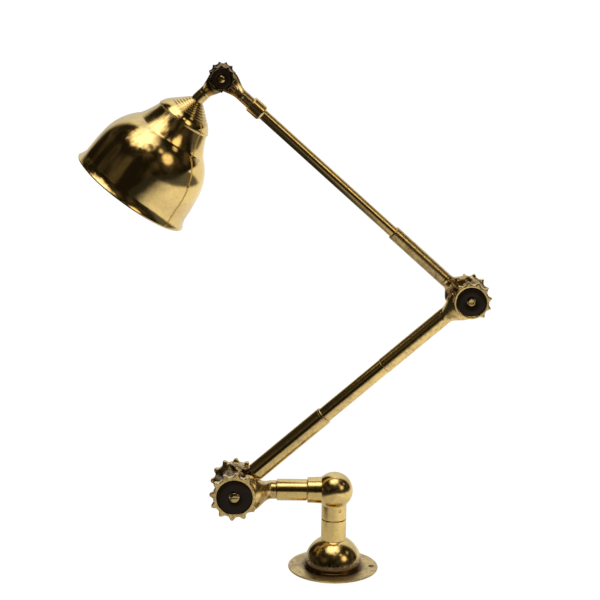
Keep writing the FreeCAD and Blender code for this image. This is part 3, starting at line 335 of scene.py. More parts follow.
def casting_pits():
    def build(tree, given):
        cells = add(tree, "ShaderNodeTexVoronoi", {
            "Vector": given["Vector"],
            "Scale": calc(tree, "DIVIDE", 1.0, given["Spacing"])})
        chance = add(tree, "ShaderNodeSeparateColor", {0: cells.outputs["Color"]}).outputs[0]
        spot = ramp(tree, cells.outputs["Distance"], 0.08, 0.24, 1.0, 0.0, smooth=True)
        return times(tree, spot, ramp(tree, chance, 0.72, 0.76))
    return group("Casting pits", ["Spacing"], "Mask", build)


# Ways to shape a piece

class Outline:
    """Half the outline of a turned piece: a chain of corners, each at a radius and a height in
    millimetres. Soft is the width of the rounding at a corner."""

    def __init__(self, radius, height, soft=0.0):
        self.bm = bmesh.new()
        self.start = self.bm.verts.new((radius, 0.0, height))
        self.corners = []
        self.reach(self.start, soft)

    def reach(self, spot, soft):
        self.end = spot
        if soft:
            self.corners.append((spot, soft))
        return self

    def line(self, radius, height, soft=0.0):
        spot = self.bm.verts.new((radius, 0.0, height))
        self.bm.edges.new((self.end, spot))
        return self.reach(spot, soft)

    def lines(self, *corners):
        """Straight runs to one corner after another, each with its radius, height and soft."""
        for corner in corners:
            self.line(*corner)
        return self

    def arc(self, radius, height, bulge, soft=0.0, steps=14):
        """A round run, which swells by the bulge to the left of the way it leads."""
        here = self.end.co.copy()
        there = Vector((radius, 0.0, height))
        chord = there - here
        left = Vector((-chord.z, 0.0, chord.x)).normalized()
        size = (chord.length_squared / 4 + bulge * bulge) / (2 * bulge)
        centre = (here + there) / 2 + left * (bulge - size)
        angle = 2 * asin(min(1.0, chord.length / 2 / abs(size)))
        swept = bmesh.ops.spin(
            self.bm, geom=[self.end], cent=centre, axis=(0.0, 1.0 if bulge > 0 else -1.0, 0.0),
            angle=angle, steps=steps, use_duplicate=False)
        spot = [part for part in swept["geom_last"] if isinstance(part, bmesh.types.BMVert)][0]
        return self.reach(spot, soft)

    def close(self):
        self.bm.edges.new((self.end, self.start))
        return self

    def turned(self, segments=112):
        """The solid that the outline makes when it is turned round Z, in millimetres."""
        bm = self.bm
        for corner, soft in self.corners:
            bmesh.ops.bevel(bm, geom=[corner], offset=soft, offset_type="OFFSET", segments=3,
                            profile=0.5, affect="VERTICES", material=-1)
        bmesh.ops.spin(bm, geom=bm.verts[:] + bm.edges[:], cent=(0, 0, 0), axis=(0, 0, 1),
                       angle=2 * pi, steps=segments, use_merge=True)
        bmesh.ops.remove_doubles(bm, verts=bm.verts[:], dist=0.002)
        bmesh.ops.recalc_face_normals(bm, faces=bm.faces[:])
        return bm


def solid(name, bm):
    """A new object in the scene with the shape of a bmesh, which is used up."""
    mesh = bpy.data.meshes.new(name)
    bm.to_mesh(mesh)
    bm.free()
    made = bpy.data.objects.new(name, mesh)
    bpy.context.scene.collection.objects.link(made)
    return made


def applied(work, *helpers):
    """The mesh of an object with its modifiers applied. The object and its helpers go."""
    bpy.context.view_layer.update()
    seen = work.evaluated_get(bpy.context.evaluated_depsgraph_get())
    bm = bmesh.new()
    bm.from_mesh(seen.to_mesh())
    seen.to_mesh_clear()
    for each in (work, *helpers):
        mesh = each.data
        bpy.data.objects.remove(each)
        bpy.data.meshes.remove(mesh)
    return bm


def carved(bm, cutters, soft):
    """Takes the space of the cutters out of a solid, and breaks the sharp edges."""
    work = solid("work", bm)
    helpers = [solid("cutter", cutter) for cutter in cutters]
    for helper in helpers:
        cut = work.modifiers.new("cut", "BOOLEAN")
        cut.operation = "DIFFERENCE"
        cut.solver = "EXACT"
        cut.object = helper
    bm = applied(work, *helpers)
    bmesh.ops.remove_doubles(bm, verts=bm.verts[:], dist=0.002)
    bmesh.ops.dissolve_limit(bm, angle_limit=radians(0.5), verts=bm.verts[:], edges=bm.edges[:])
    sharp = [edge for edge in bm.edges if len(edge.link_faces) == 2
             and edge.calc_face_angle() > radians(38)]
    bmesh.ops.bevel(bm, geom=sharp, offset=soft, offset_type="OFFSET", segments=2, profile=0.5,
                    affect="EDGES", clamp_overlap=True, material=-1)
    return bm


def drill(x, y, low, high, radius):
    """A round cutter along Z, in millimetres."""
    bm = bmesh.new()
    spot = Matrix.Translation((x, y, (low + high) / 2))
    bmesh.ops.create_cone(bm, cap_ends=True, cap_tris=False, segments=40, radius1=radius,
                          radius2=radius, depth=high - low, matrix=spot)
    return bm


def blade(length, width, low, high):
    """A cutter for a straight slot across the Z axis, in millimetres."""
    bm = bmesh.new()
    size = Matrix.Diagonal((length, width, high - low, 1.0))
    bmesh.ops.create_cube(bm, size=1.0, matrix=Matrix.Translation((0, 0, (low + high) / 2)) @ size)
    return bm


def laid(bm, axis):
    """Brings a solid from millimetres on Z to its place on an axis."""
    bmesh.ops.scale(bm, vec=(MM, MM, MM), verts=bm.verts[:])
    bmesh.ops.transform(bm, matrix=axis.matrix, verts=bm.verts[:])
    return bm


def piece(name, bm, *nodes):
    """An object that stands for nodes of the frame, with the finish and body of the first."""
    made = solid(name, bm)
    made.data.shade_smooth()
    made.data.materials.append(frame["nodes"][nodes[0]].material_slots[0].material)
    even = made.modifiers.new("even shading", "WEIGHTED_NORMAL")
    even.keep_sharp = True
    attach(made, BODY[nodes[0]])
    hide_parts(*nodes)
    return made


def span(node, axis):
    """Lowest and highest place of a node along an axis and its widest radius round it, in
    millimetres."""
    spots = [axis.inverse @ vertex.co for vertex in frame["nodes"][node].data.vertices]
    heights = [spot.z for spot in spots]
    return min(heights) / MM, max(heights) / MM, max(spot.xy.length for spot in spots) / MM


# Cast pieces: the frame's solid, remade as a fine even skin with the soft hollows and worn
# corners of a casting, and then trued where it was turned

def cast_skin(node, grain, fillet, wear, core=None):
    """A core is an axis, a radius, a low and a high end in millimetres: it stops the wiring
    hole, which would break through where the neck is thin."""
    bm = bmesh.new()
    bm.from_mesh(frame["nodes"][node].data)
    if core:
        axis, radius, low, high = core
        spot = axis.matrix @ Matrix.Translation((0, 0, (low + high) / 2 * MM))
        bmesh.ops.create_cone(bm, cap_ends=True, cap_tris=False, segments=24,
                              radius1=radius * MM, radius2=radius * MM,
                              depth=(high - low) * MM, matrix=spot)
    bmesh.ops.remove_doubles(bm, verts=bm.verts[:], dist=0.002 * MM)
    work = solid("work", bm)
    for growth in (fillet, -fillet - wear, wear):
        skin = work.modifiers.new("skin", "REMESH")
        skin.mode = "VOXEL"
        skin.voxel_size = grain * MM
        grow = work.modifiers.new("grow", "DISPLACE")
        grow.mid_level = 0.0
        grow.strength = growth * MM
    even = work.modifiers.new("even", "SMOOTH")
    even.factor = 0.5
    even.iterations = 5
    return applied(work)


def bar(axis, radius, low, high):
    """How far a place is from the side of a round bar."""
    def away(spot):
        local = axis.inverse @ spot
        if not low * MM < local.z < high * MM:
            return None
        side = Vector((local.x, local.y, 0.0))
        return axis.turn @ (side - side.normalized() * radius * MM)
    return away


def ball(centre, radius):
    def away(spot):
        side = spot - centre
        return side - side.normalized() * radius * MM
    return away


def flat(axis, height):
    """How far a place is from a flat face square to an axis."""
    def away(spot):
        return axis.direction * ((axis.inverse @ spot).z - height * MM)
    return away


def trued(bm, surfaces, reach=0.35):
    """Draws a cast skin onto the turned surfaces that it nearly touches."""
    limit = reach * MM
    for vertex in bm.verts:
        for surface in surfaces:
            away = surface(vertex.co)
            if away and away.length < limit:
                vertex.co -= away * (1.0 - (away.length / limit) ** 2)
                break
    return bm


# Finishes

def material(name):
    """An empty material with its shader and output."""
    made = bpy.data.materials.new(name)
    made.use_nodes = True
    tree = made.node_tree
    tree.nodes.clear()
    shader = tree.nodes.new("ShaderNodeBsdfPrincipled")
    output = tree.nodes.new("ShaderNodeOutputMaterial")
    tree.links.new(shader.outputs[0], output.inputs["Surface"])
    return made, tree, shader


def along(tree, axis):
    """Object coordinates with their Z laid along an axis."""
    spot = add(tree, "ShaderNodeTexCoord").outputs["Object"]
    return add(tree, "ShaderNodeMapping", {
        "Vector": spot, "Location": axis.place, "Rotation": axis.turn.to_euler()},
        vector_type="TEXTURE").outputs[0]


def height_and_radius(tree, vector):
    parts = split(tree, vector)
    return parts["Z"], length(tree, across(tree, parts))


# Painted shade: masks that darken a finish towards the stain colour where shade falls, in creases, recesses and at
# the foot of parts. Each gets a tree and a vector along the piece, and returns a mask

# Painted shade: darker towards the foot of the dome, fading out above it.
def painted_shade_at_dome_foot(tree, vector):
    return ramp(tree, split(tree, vector)["Z"], 0.006, 0.022, 1.8, 0.0, smooth=True)


def painted_shade_round_dome(tree, vector):
    """Painted shade on the flange: in a ring just outside the dome, and in the screw holes."""
    radius = height_and_radius(tree, vector)[1]
    mask = ramp(tree, radius, 0.036, 0.042, 0.8, 0.0, smooth=True)
    for x, y in SCREW_HOLES:
        away = add(tree, "ShaderNodeVectorMath", {0: vector, 1: (x * MM, y * MM, 0.001)},
                   operation="DISTANCE").outputs["Value"]
        near = ramp(tree, away, (SCREW_HOLE_RADIUS + 0.2) * MM, (SCREW_HOLE_RADIUS + 0.7) * MM,
                    1.0, 0.0, smooth=True)
        mask = most(tree, mask, near)
    return mask


def painted_shade_in_waist(depth, root):
    """A mask of painted shade in the waist between the two toothed rings, for a joint whose face is at that depth
    and whose toothed ring has that radius.
    """
    def mask(tree, vector):
        height, radius = height_and_radius(tree, vector)
        away = calc(tree, "ABSOLUTE", height)
        near = ramp(tree, away, 0.35 * depth, 0.8 * depth, 1.0, 0.0, smooth=True)
        inside = ramp(tree, radius, root * 0.99, root * 1.35, 1.0, 0.0, smooth=True)
        return times(tree, near, inside)
    return mask


# Painted shade: darker over the cog of the head joint, fading out along its shanks.
def painted_shade_on_cog(root):
    def mask(tree, vector):
        radius = height_and_radius(tree, vector)[1]
        return ramp(tree, radius, root * 1.1, root * 1.7, 0.92, 0.1, smooth=True)
    return mask


def with_bump(tree, shader, strength, distance, height):
    bump = add(tree, "ShaderNodeBump", {
        "Strength": strength, "Distance": distance, "Height": height})
    feed(tree, shader.inputs["Normal"], bump.outputs[0])


def brass_finish(name, axis, roughness=0.13, stains=0.35, stain_size=0.03, rings=0.15, pits=0.0,
                 scratches=0.3, waves=0.3, wave_size=0.012, dull=0.55, mottle=0.3, dark=0.0,
                 painted_shade=None):
    """Old polished brass: mirror bright, with dulled patches, brown stains, turned rings, fine scratches, and pits
    where it is cast, and painted shade where a mask of it is given. Sizes are in metres, the rest are shares."""
    settings = bpy.context.scene.wall_light_finish
    made, tree, shader = material(name)
    vector = along(tree, axis)
    marks = place(tree, turning_marks(), {
        "Vector": vector, "Spacing": settings.ring_spacing})["Height"]
    stained = place(tree, tarnish_patches(), {
        "Vector": vector, "Size": stain_size, "Amount": stains})["Mask"]
    cloud = ramp(tree, noise(tree, vector, 1.0 / 0.045, 4.0, 0.6, 0.4), 0.42, 0.72, smooth=True)
    scratch = place(tree, fine_scratches(), {"Vector": vector, "Spacing": 0.006})["Mask"]
    pitted = times(tree, place(tree, casting_pits(), {
        "Vector": vector, "Spacing": 0.0035})["Mask"], pits)

    grain = noise(tree, vector, 1.0 / 0.004, 4.0, 0.6, 0.3)
    mottled = ramp(tree, grain, 0.42, 0.66, 0.0, mottle, smooth=True)
    wear = calc(tree, "MINIMUM", plus(tree, times(tree, cloud, dull), mottled), 1.0)
    bright = mix_colours(tree, wear, settings.brass, settings.worn_brass)
    darkened = mix_colours(tree, dark, bright, settings.tarnish_and_shade)
    dirt_and_shade = most(tree, times(tree, stained, 0.75), times(tree, pitted, 0.8))
    # Painted shade: the mask darkens the brass towards the stain colour, broken up by the grain so that bright
    # spots stay.
    if painted_shade:
        shade_breakup = ramp(tree, grain, 0.40, 0.60, 1.1, 0.55, smooth=True)
        brown = calc(tree, "MINIMUM", times(tree, painted_shade(tree, vector), shade_breakup), 0.93)
        dirt_and_shade = most(tree, dirt_and_shade, brown)
    feed(tree, shader.inputs["Base Color"], mix_colours(tree, dirt_and_shade, darkened, settings.tarnish_and_shade))
    shader.inputs["Metallic"].default_value = 1.0

    rough = plus(tree, roughness, times(tree, cloud, 0.07))
    rough = plus(tree, rough, times(tree, stained, 0.14))
    rough = plus(tree, rough, times(tree, mottled, 0.10))
    rough = plus(tree, rough, times(tree, scratch, 0.10 * scratches))
    feed(tree, shader.inputs["Roughness"], rough)

    swell = noise(tree, vector, 1.0 / wave_size, 2.0, 0.45)
    height = plus(tree, times(tree, marks, rings), times(tree, swell, waves))
    height = calc(tree, "SUBTRACT", height, times(tree, scratch, 0.12 * scratches))
    height = calc(tree, "SUBTRACT", height, times(tree, pitted, 0.8))
    with_bump(tree, shader, 1.0, 0.00012, height)
    return made


def speckled_finish(name, axis, colour, second, roughness, size, grain=0.00005, coat=0.0,
                    metallic=0.0):
    """A moulded, pressed or woven surface: two close colours in fine grain, with a bump."""
    made, tree, shader = material(name)
    vector = along(tree, axis)
    fine = noise(tree, vector, 1.0 / size, 5.0, 0.65)
    broad = noise(tree, vector, 0.12 / size, 3.0, 0.5)
    share = ramp(tree, plus(tree, fine, times(tree, broad, 0.6)), 0.55, 1.05)
    feed(tree, shader.inputs["Base Color"], mix_colours(tree, share, colour, second))
    feed(tree, shader.inputs["Roughness"], ramp(tree, broad, 0.3, 0.7, roughness,
                                                min(1.0, roughness + 0.12)))
    shader.inputs["Metallic"].default_value = metallic
    shader.inputs["Coat Weight"].default_value = coat
    with_bump(tree, shader, 0.6, grain, fine)
    return made


def black_gloss(name, axis):
    """Gloss black with faint turned rings and a little dust."""
    settings = bpy.context.scene.wall_light_finish
    made, tree, shader = material(name)
    vector = along(tree, axis)
    marks = place(tree, turning_marks(), {"Vector": vector, "Spacing": 0.0008})["Height"]
    dust = place(tree, casting_pits(), {"Vector": vector, "Spacing": 0.0016})["Mask"]
    cloud = noise(tree, vector, 1.0 / 0.012, 3.0)
    feed(tree, shader.inputs["Base Color"], mix_colours(
        tree, times(tree, dust, 0.18), settings.black, (0.10, 0.085, 0.06)))
    feed(tree, shader.inputs["Roughness"], ramp(tree, cloud, 0.35, 0.65, 0.16, 0.26))
    shader.inputs["Specular IOR Level"].default_value = 0.12
    with_bump(tree, shader, 0.4, 0.00004, marks)
    return made


# The finishes of the pieces

CAST = dict(roughness=0.22, stains=0.5, stain_size=0.016, rings=0.0, pits=0.4, waves=0.9,
            wave_size=0.008, dull=0.9, mottle=0.8)
TURNED = dict(roughness=0.15, stains=0.3, stain_size=0.018, rings=0.1, waves=1.0,
              wave_size=0.014, dull=0.4, mottle=0.3)
PLATE = dict(roughness=0.36, stains=0.32, stain_size=0.04, rings=0.15, waves=0.8, dull=1.0,
             mottle=0.8, dark=0.08, painted_shade=painted_shade_round_dome)
TUBE = dict(roughness=0.13, stains=0.45, stain_size=0.014, rings=0.02, waves=0.5, pits=0.4,
            mottle=0.6)
SPUN = dict(roughness=0.09, stains=0.14, stain_size=0.05, rings=0.06, waves=1.8,
            wave_size=0.018, scratches=0.6, mottle=0.2)
SCREW = dict(roughness=0.2, stains=0.35, stain_size=0.006, rings=0.05, waves=0.3, mottle=0.15,
             dark=0.25)


def paint(names, finish):
    """Gives a finish to nodes of the frame. A piece that replaces one takes it over."""
    for name in names:
        for slot in frame["nodes"][name].material_slots:
            slot.material = finish


class WALLLIGHT_OT_finishes(Operator):
    """Gives every node of the frame its finish"""
    bl_idname = "walllight.finishes"
    bl_label = "Finishes"

    def execute(self, context):
        paint(["base_flange"], brass_finish("flange brass", POST, **PLATE))
        paint(["base_dome"], brass_finish(
            "dome brass", POST, **TURNED, painted_shade=painted_shade_at_dome_foot))
        paint(["post_sleeve", "swivel_stem", "post_nut", "post_washer"],
              brass_finish("post brass", POST, **TURNED))
        paint(["ball_elbow", "swivel_grub_screw", "stub_barrel", "stub_nipple"],
              brass_finish("stub brass", STUB, **TURNED))
        paint(["lower_arm_sleeve", "lower_arm_tube"],
              brass_finish("lower arm brass", LOWER, **TUBE))
        paint(["upper_arm_tube", "upper_arm_collar"],
              brass_finish("upper arm brass", UPPER, **TUBE))
        paint(["shade", "shade_cap"], brass_finish("shade brass", SHADE, **SPUN))
        paint(["cap_lock_nut", "lampholder_cap", "lampholder_screw_shell", "lampholder_contact"],
              brass_finish("holder brass", SHADE, **SCREW))
        for name, pin in JOINTS.items():
            face = Axis(pin, FRONT)
            depth, root = (size * MM for size in FACES[name])
            # Painted shade on the joints: over the cog of the head joint, in the waist of the others.
            painted_shade = painted_shade_on_cog(root) if name == "head" else painted_shade_in_waist(depth, root)
            paint([name + "_front_knuckle", name + "_rear_knuckle"],
                  brass_finish(name + " cast brass", face, **CAST, painted_shade=painted_shade))
            paint([name + "_front_disc", name + "_rear_disc"], black_gloss(name + " black", face))
            paint([name + "_pivot_screw", name + "_cap_nut", name + "_nut_washer"],
                  brass_finish(name + " screw brass", face, **SCREW))
            paint([name + "_spring_washer"], speckled_finish(
                name + " spring steel", face, (0.42, 0.41, 0.40), (0.30, 0.27, 0.24), 0.3,
                0.0006, metallic=1.0))
            paint([name + "_friction_washer"], speckled_finish(
                name + " fibre", face, (0.15, 0.07, 0.04), (0.24, 0.13, 0.08), 0.7, 0.0008))
        paint(["lampholder_skirt", "shade_ring"], speckled_finish(
            "holder black", SHADE, (0.018, 0.015, 0.012), (0.035, 0.028, 0.022), 0.28, 0.002,
            0.00002, 0.3))
        paint(["lampholder_insulator"], speckled_finish(
            "holder ceramic", SHADE, (0.84, 0.82, 0.76), (0.74, 0.70, 0.62), 0.25, 0.003))
        paint(["bulb_cap"], speckled_finish(
            "bulb cap metal", SHADE, (0.78, 0.78, 0.76), (0.66, 0.65, 0.62), 0.28, 0.002,
            metallic=1.0))
        glass = context.scene.wall_light_finish.bulb
        paint(["bulb_glass"], speckled_finish(
            "frosted bulb", SHADE, glass, (0.80, 0.78, 0.72), 0.22, 0.01, 0.00001, 0.4))
        paint([name for name in frame["nodes"] if name.endswith("_wires")], speckled_finish(
            "wire cover", POST, (0.09, 0.055, 0.035), (0.16, 0.11, 0.07), 0.6, 0.0006))
        return {"FINISHED"}


# Base and stub, in millimetres

POST_RADIUS = 15.3
BALL_RADIUS = 22.5


class WALLLIGHT_OT_base(Operator):
    """Makes the flange with its screw holes, the dome on it and the post"""
    bl_idname = "walllight.base"
    bl_label = "Base"

    def execute(self, context):
        high, radius = span("base_flange", POST)[1:]
        edge = high / 2
        plate = Outline(FLANGE_BORE, 0.0).line(radius - edge, 0.0)
        plate = plate.arc(radius - edge, high, -edge, steps=10).line(FLANGE_BORE, high).close()
        holes = [drill(x, y, -1.0, high + 1.0, SCREW_HOLE_RADIUS) for x, y in SCREW_HOLES]
        piece("flange", laid(carved(plate.turned(144), holes, 0.35), POST), "base_flange")

        dome = Outline(33.3, 2.0).lines(
            (35.6, 2.0, 0.2), (35.6, 3.3, 0.5), (34.8, 4.0, 0.3), (34.8, 6.0))
        dome = dome.arc(POST_RADIUS, 37.256, -5.27, 0.1, steps=40)
        dome = dome.lines((7.05, 37.256, 0.2), (7.05, 35.756), (14.95, 35.756, 0.2))
        dome = dome.arc(33.3, 6.0, 4.956, steps=30).close()
        piece("dome", laid(dome.turned(144), POST), "base_dome")

        foot, top, radius = span("post_sleeve", POST)
        post = Outline(11.55, foot).lines(
            (radius, foot, 0.6), (radius, top, 0.7), (9.05, top, 0.3), (9.05, foot + 3.0),
            (11.55, foot + 3.0)).close()
        piece("post", laid(post.turned(), POST), "post_sleeve")
        return {"FINISHED"}


class WALLLIGHT_OT_stub(Operator):
    """Makes the ball elbow and the grooved barrel of the stub"""
    bl_idname = "walllight.stub"
    bl_label = "Stub"

    def execute(self, context):
        skin = cast_skin("ball_elbow", 0.5, 0.8, 0.25)
        spigot = bar(POST, POST_RADIUS, span("ball_elbow", POST)[0] + 0.6, 82.0)
        collar = bar(STUB, 15.65, 23.0, 32.4)
        globe = ball(STUB_CENTRE, BALL_RADIUS)
        piece("elbow", trued(skin, [globe, spigot, collar]), "ball_elbow")

        low, high, radius = span("stub_barrel", STUB)
        waist = radius - 0.9
        barrel = Outline(6.55, low).lines(
            (waist, low, 0.1), (waist, low + 0.7, 0.1), (radius, low + 0.9, 0.3),
            (radius, high - 0.9, 0.3), (waist, high - 0.7, 0.1), (waist, high, 0.1), (6.55, high))
        piece("barrel", laid(barrel.close().turned(), STUB), "stub_barrel")
        return {"FINISHED"}


# Joints: the depth of each face from the middle plane, and the radius between the teeth

FACES = {"shoulder": (31.0, 25.6), "elbow": (22.5, 21.2), "head": (15.5, 14.2)}


def knuckle(name, joint, side, grain, fillet, core, shanks):
    """A cast half of a joint, with its turned shanks and its flat face trued."""
    skin = cast_skin(name, grain, fillet, 0.3, core)
    face = flat(Axis(JOINTS[joint], side), FACES[joint][0])
    side_name = "front" if side == FRONT else "rear"
    piece(joint + "_half_" + side_name, trued(skin, [face, *shanks]), name)


def disc(joint, side, node):
    """A black disc with a soft edge, a low crown and a sunk ring round its hole."""
    axis = Axis(JOINTS[joint], side)
    low, high, radius = span(node, axis)
    edge = FACES[joint][0] - 1.0
    hole = span(joint + "_cap_nut", Axis(JOINTS[joint], REAR))[2] + 0.5
    outline = Outline(hole, low).line(radius, low, 0.2).line(radius, edge, 0.4)
    outline = outline.arc(hole + 0.4, edge + 0.1, -(high - edge), 0.2).line(hole, edge - 0.4, 0.1)
    piece(node + "_fine", laid(outline.close().turned(), axis), node)


def screw(joint, slotted):
    """The pivot screw: a low round head, slotted or with a sunk middle."""
    node = joint + "_pivot_screw"
    axis = Axis(JOINTS[joint], FRONT)
    low, top, head = span(node, axis)
    floor = FACES[joint][0] - 3.2
    pin = {"shoulder": 3.5, "elbow": 3.0, "head": 2.0}[joint]
    edge = top - 1.4
    outline = Outline(0.0, low).lines(
        (pin, low, 0.3), (pin, floor, 0.1), (head, floor, 0.2), (head, edge, 0.25))
    if slotted:
        outline = outline.arc(head * 0.2, top, -0.075 * head).line(0.0, top)
        bm = carved(outline.turned(80), [blade(4 * head, head * 0.24, top - 1.6, top + 1.0)], 0.12)
    else:
        bm = outline.lines(
            (head * 0.86, top, 0.3), (head * 0.62, top, 0.2), (head * 0.56, top - 1.2, 0.2),
            (0.0, top - 1.2)).turned(80)
    piece(node + "_fine", laid(bm, axis), node)


class WALLLIGHT_OT_joints(Operator):
    """Makes the cast halves of the joints, their black discs and their screws"""
    bl_idname = "walllight.joints"
    bl_label = "Joints"

    def execute(self, context):
        knuckle("shoulder_front_knuckle", "shoulder", FRONT, 0.45, 1.2,
                (STUB, 4.0, 76.0, 105.0), [bar(STUB, 11.3, 70.7, 77.0)])
        knuckle("shoulder_rear_knuckle", "shoulder", REAR, 0.45, 1.2,
                (LOWER, 4.0, 18.0, 50.0), [])
        knuckle("elbow_front_knuckle", "elbow", FRONT, 0.52, 1.2,
                (LOWER, 4.0, 322.0, 356.0), [bar(LOWER, 9.9, 238.3, 329.0)])
        knuckle("elbow_rear_knuckle", "elbow", REAR, 0.47, 1.2,
                (UPPER, 4.0, 14.0, 48.0), [bar(UPPER, 8.25, 39.5, 121.7)])
        knuckle("head_rear_knuckle", "head", REAR, 0.32, 0.9,
                (UPPER, 2.6, 362.0, 385.0), [bar(UPPER, 7.0, 350.6, 361.0)])
        knuckle("head_front_knuckle", "head", FRONT, 0.32, 0.9,
                (HEAD_SHANK, 2.6, 8.0, 26.0), [bar(HEAD_SHANK, 7.6, 29.5, 34.5)])
        for joint in JOINTS:
            disc(joint, FRONT, joint + "_front_disc")
            disc(joint, REAR, joint + "_rear_disc")
            screw(joint, joint != "elbow")
        return {"FINISHED"}


# Arms

def tube(name, node, axis, wall):
    low, high, radius = span(node, axis)
    outline = Outline(radius - wall, low).lines(
        (radius, low, 0.3), (radius, high, 0.3), (radius - wall, high, 0.1))
    piece(name, laid(outline.close().turned(), axis), node)


class WALLLIGHT_OT_arms(Operator):
    """Makes the sleeve, the tubes and the collar of the two arms"""
    bl_idname = "walllight.arms"
    bl_label = "Arms"

    def execute(self, context):
        low, high, radius = span("lower_arm_sleeve", LOWER)
        inner = span("lower_arm_tube", LOWER)[2] + 0.05
        groove = radius - 0.45
        sleeve = Outline(inner, low).lines(
            (radius, low, 0.4), (radius, high - 3.1, 0.1), (groove, high - 2.9, 0.1),
            (groove, high - 2.3, 0.1), (radius, high - 2.1, 0.1), (radius, high - 0.6, 0.3),
            (radius - 0.6, high, 0.2), (inner, high))
        piece("sleeve", laid(sleeve.close().turned(), LOWER), "lower_arm_sleeve")
        tube("lower_tube", "lower_arm_tube", LOWER, 1.3)
        tube("upper_tube", "upper_arm_tube", UPPER, 1.0)

        low, high, radius = span("upper_arm_collar", UPPER)
        inner = span("upper_arm_tube", UPPER)[2] + 0.05
        collar = Outline(inner, low).lines(
            (radius - 2.0, low, 0.3), (radius, low + 2.0, 0.6), (radius, high - 2.0, 0.6),
            (radius - 2.0, high, 0.3), (inner, high))
        piece("collar", laid(collar.close().turned(), UPPER), "upper_arm_collar")
        return {"FINISHED"}


# Shade, lampholder and bulb, in millimetres above the rim. The bell and its cap meet at the seam.

SEAM_HEIGHT = 108.0
SEAM_RADIUS = 33.4
CAP_TOP = Vector((9.4, 134.5))
CAP_KNEE = Vector((26.4, 119.2))
CAP_GROOVES = 6
STEM_HOLE = 5.05
HOLDER_WALL = 2.2
GLASS_WALL = 0.9
GLASS_NECK = 12.65
GLASS_JOIN = 0.84           # where the ball of the bulb runs into its neck: these three are
GLASS_JOIN_HEIGHT = 0.5426  # shares of the ball's radius
GLASS_JOIN_BULGE = 0.0809


class WALLLIGHT_OT_shade(Operator):
    """Makes the bell shade with its rolled rim, and the ringed cap"""
    bl_idname = "walllight.shade"
    bl_label = "Shade"

    def execute(self, context):
        bell = Outline(21.7, 107.0).lines(
            (21.7, SEAM_HEIGHT), (32.8, SEAM_HEIGHT, 0.1), (SEAM_RADIUS, 107.4, 0.2))
        bell = bell.arc(45.3, 84.0, -0.8).arc(67.3, 45.0, 3.9, steps=24).arc(70.3, 12.0, 0.5)
        bell = bell.arc(74.2, 1.9, -0.5).arc(73.5, 0.0, 0.664, steps=8)
        bell = bell.arc(72.45, 1.4, 0.434, steps=6).arc(69.3, 12.0, 0.5).arc(66.35, 44.6, -0.5)
        bell = bell.arc(44.45, 83.4, -3.9, steps=24).arc(32.4, 107.0, 0.8)
        piece("bell", laid(bell.close().turned(176), SHADE), "shade")

        cone = CAP_KNEE - CAP_TOP
        inward = Vector((cone.y, -cone.x)).normalized()
        cap = Outline(STEM_HOLE, CAP_TOP.y - 1.0).lines(
            (STEM_HOLE, CAP_TOP.y, 0.2), (*CAP_TOP, 0.6))
        for index in range(CAP_GROOVES):
            spot = CAP_TOP + cone * (0.12 + 0.156 * index)
            for shift, depth, soft in ((-0.75, 0.0, 0.25), (0.0, 0.4, 0.2), (0.75, 0.0, 0.25)):
                point = spot + cone.normalized() * shift + inward * depth
                cap = cap.line(*point, soft)
        cap = cap.line(*CAP_KNEE, 0.5).arc(SEAM_RADIUS, 110.0, 0.6)
        cap = cap.lines((SEAM_RADIUS, 109.3, 0.1), (34.1, 109.2, 0.25), (34.1, SEAM_HEIGHT, 0.25),
                        (32.4, SEAM_HEIGHT), (32.4, 109.6))
        cap = cap.arc(25.7, 118.4, -0.6).line(9.0, 133.5)
        piece("cap", laid(cap.close().turned(144), SHADE), "shade_cap")
        return {"FINISHED"}


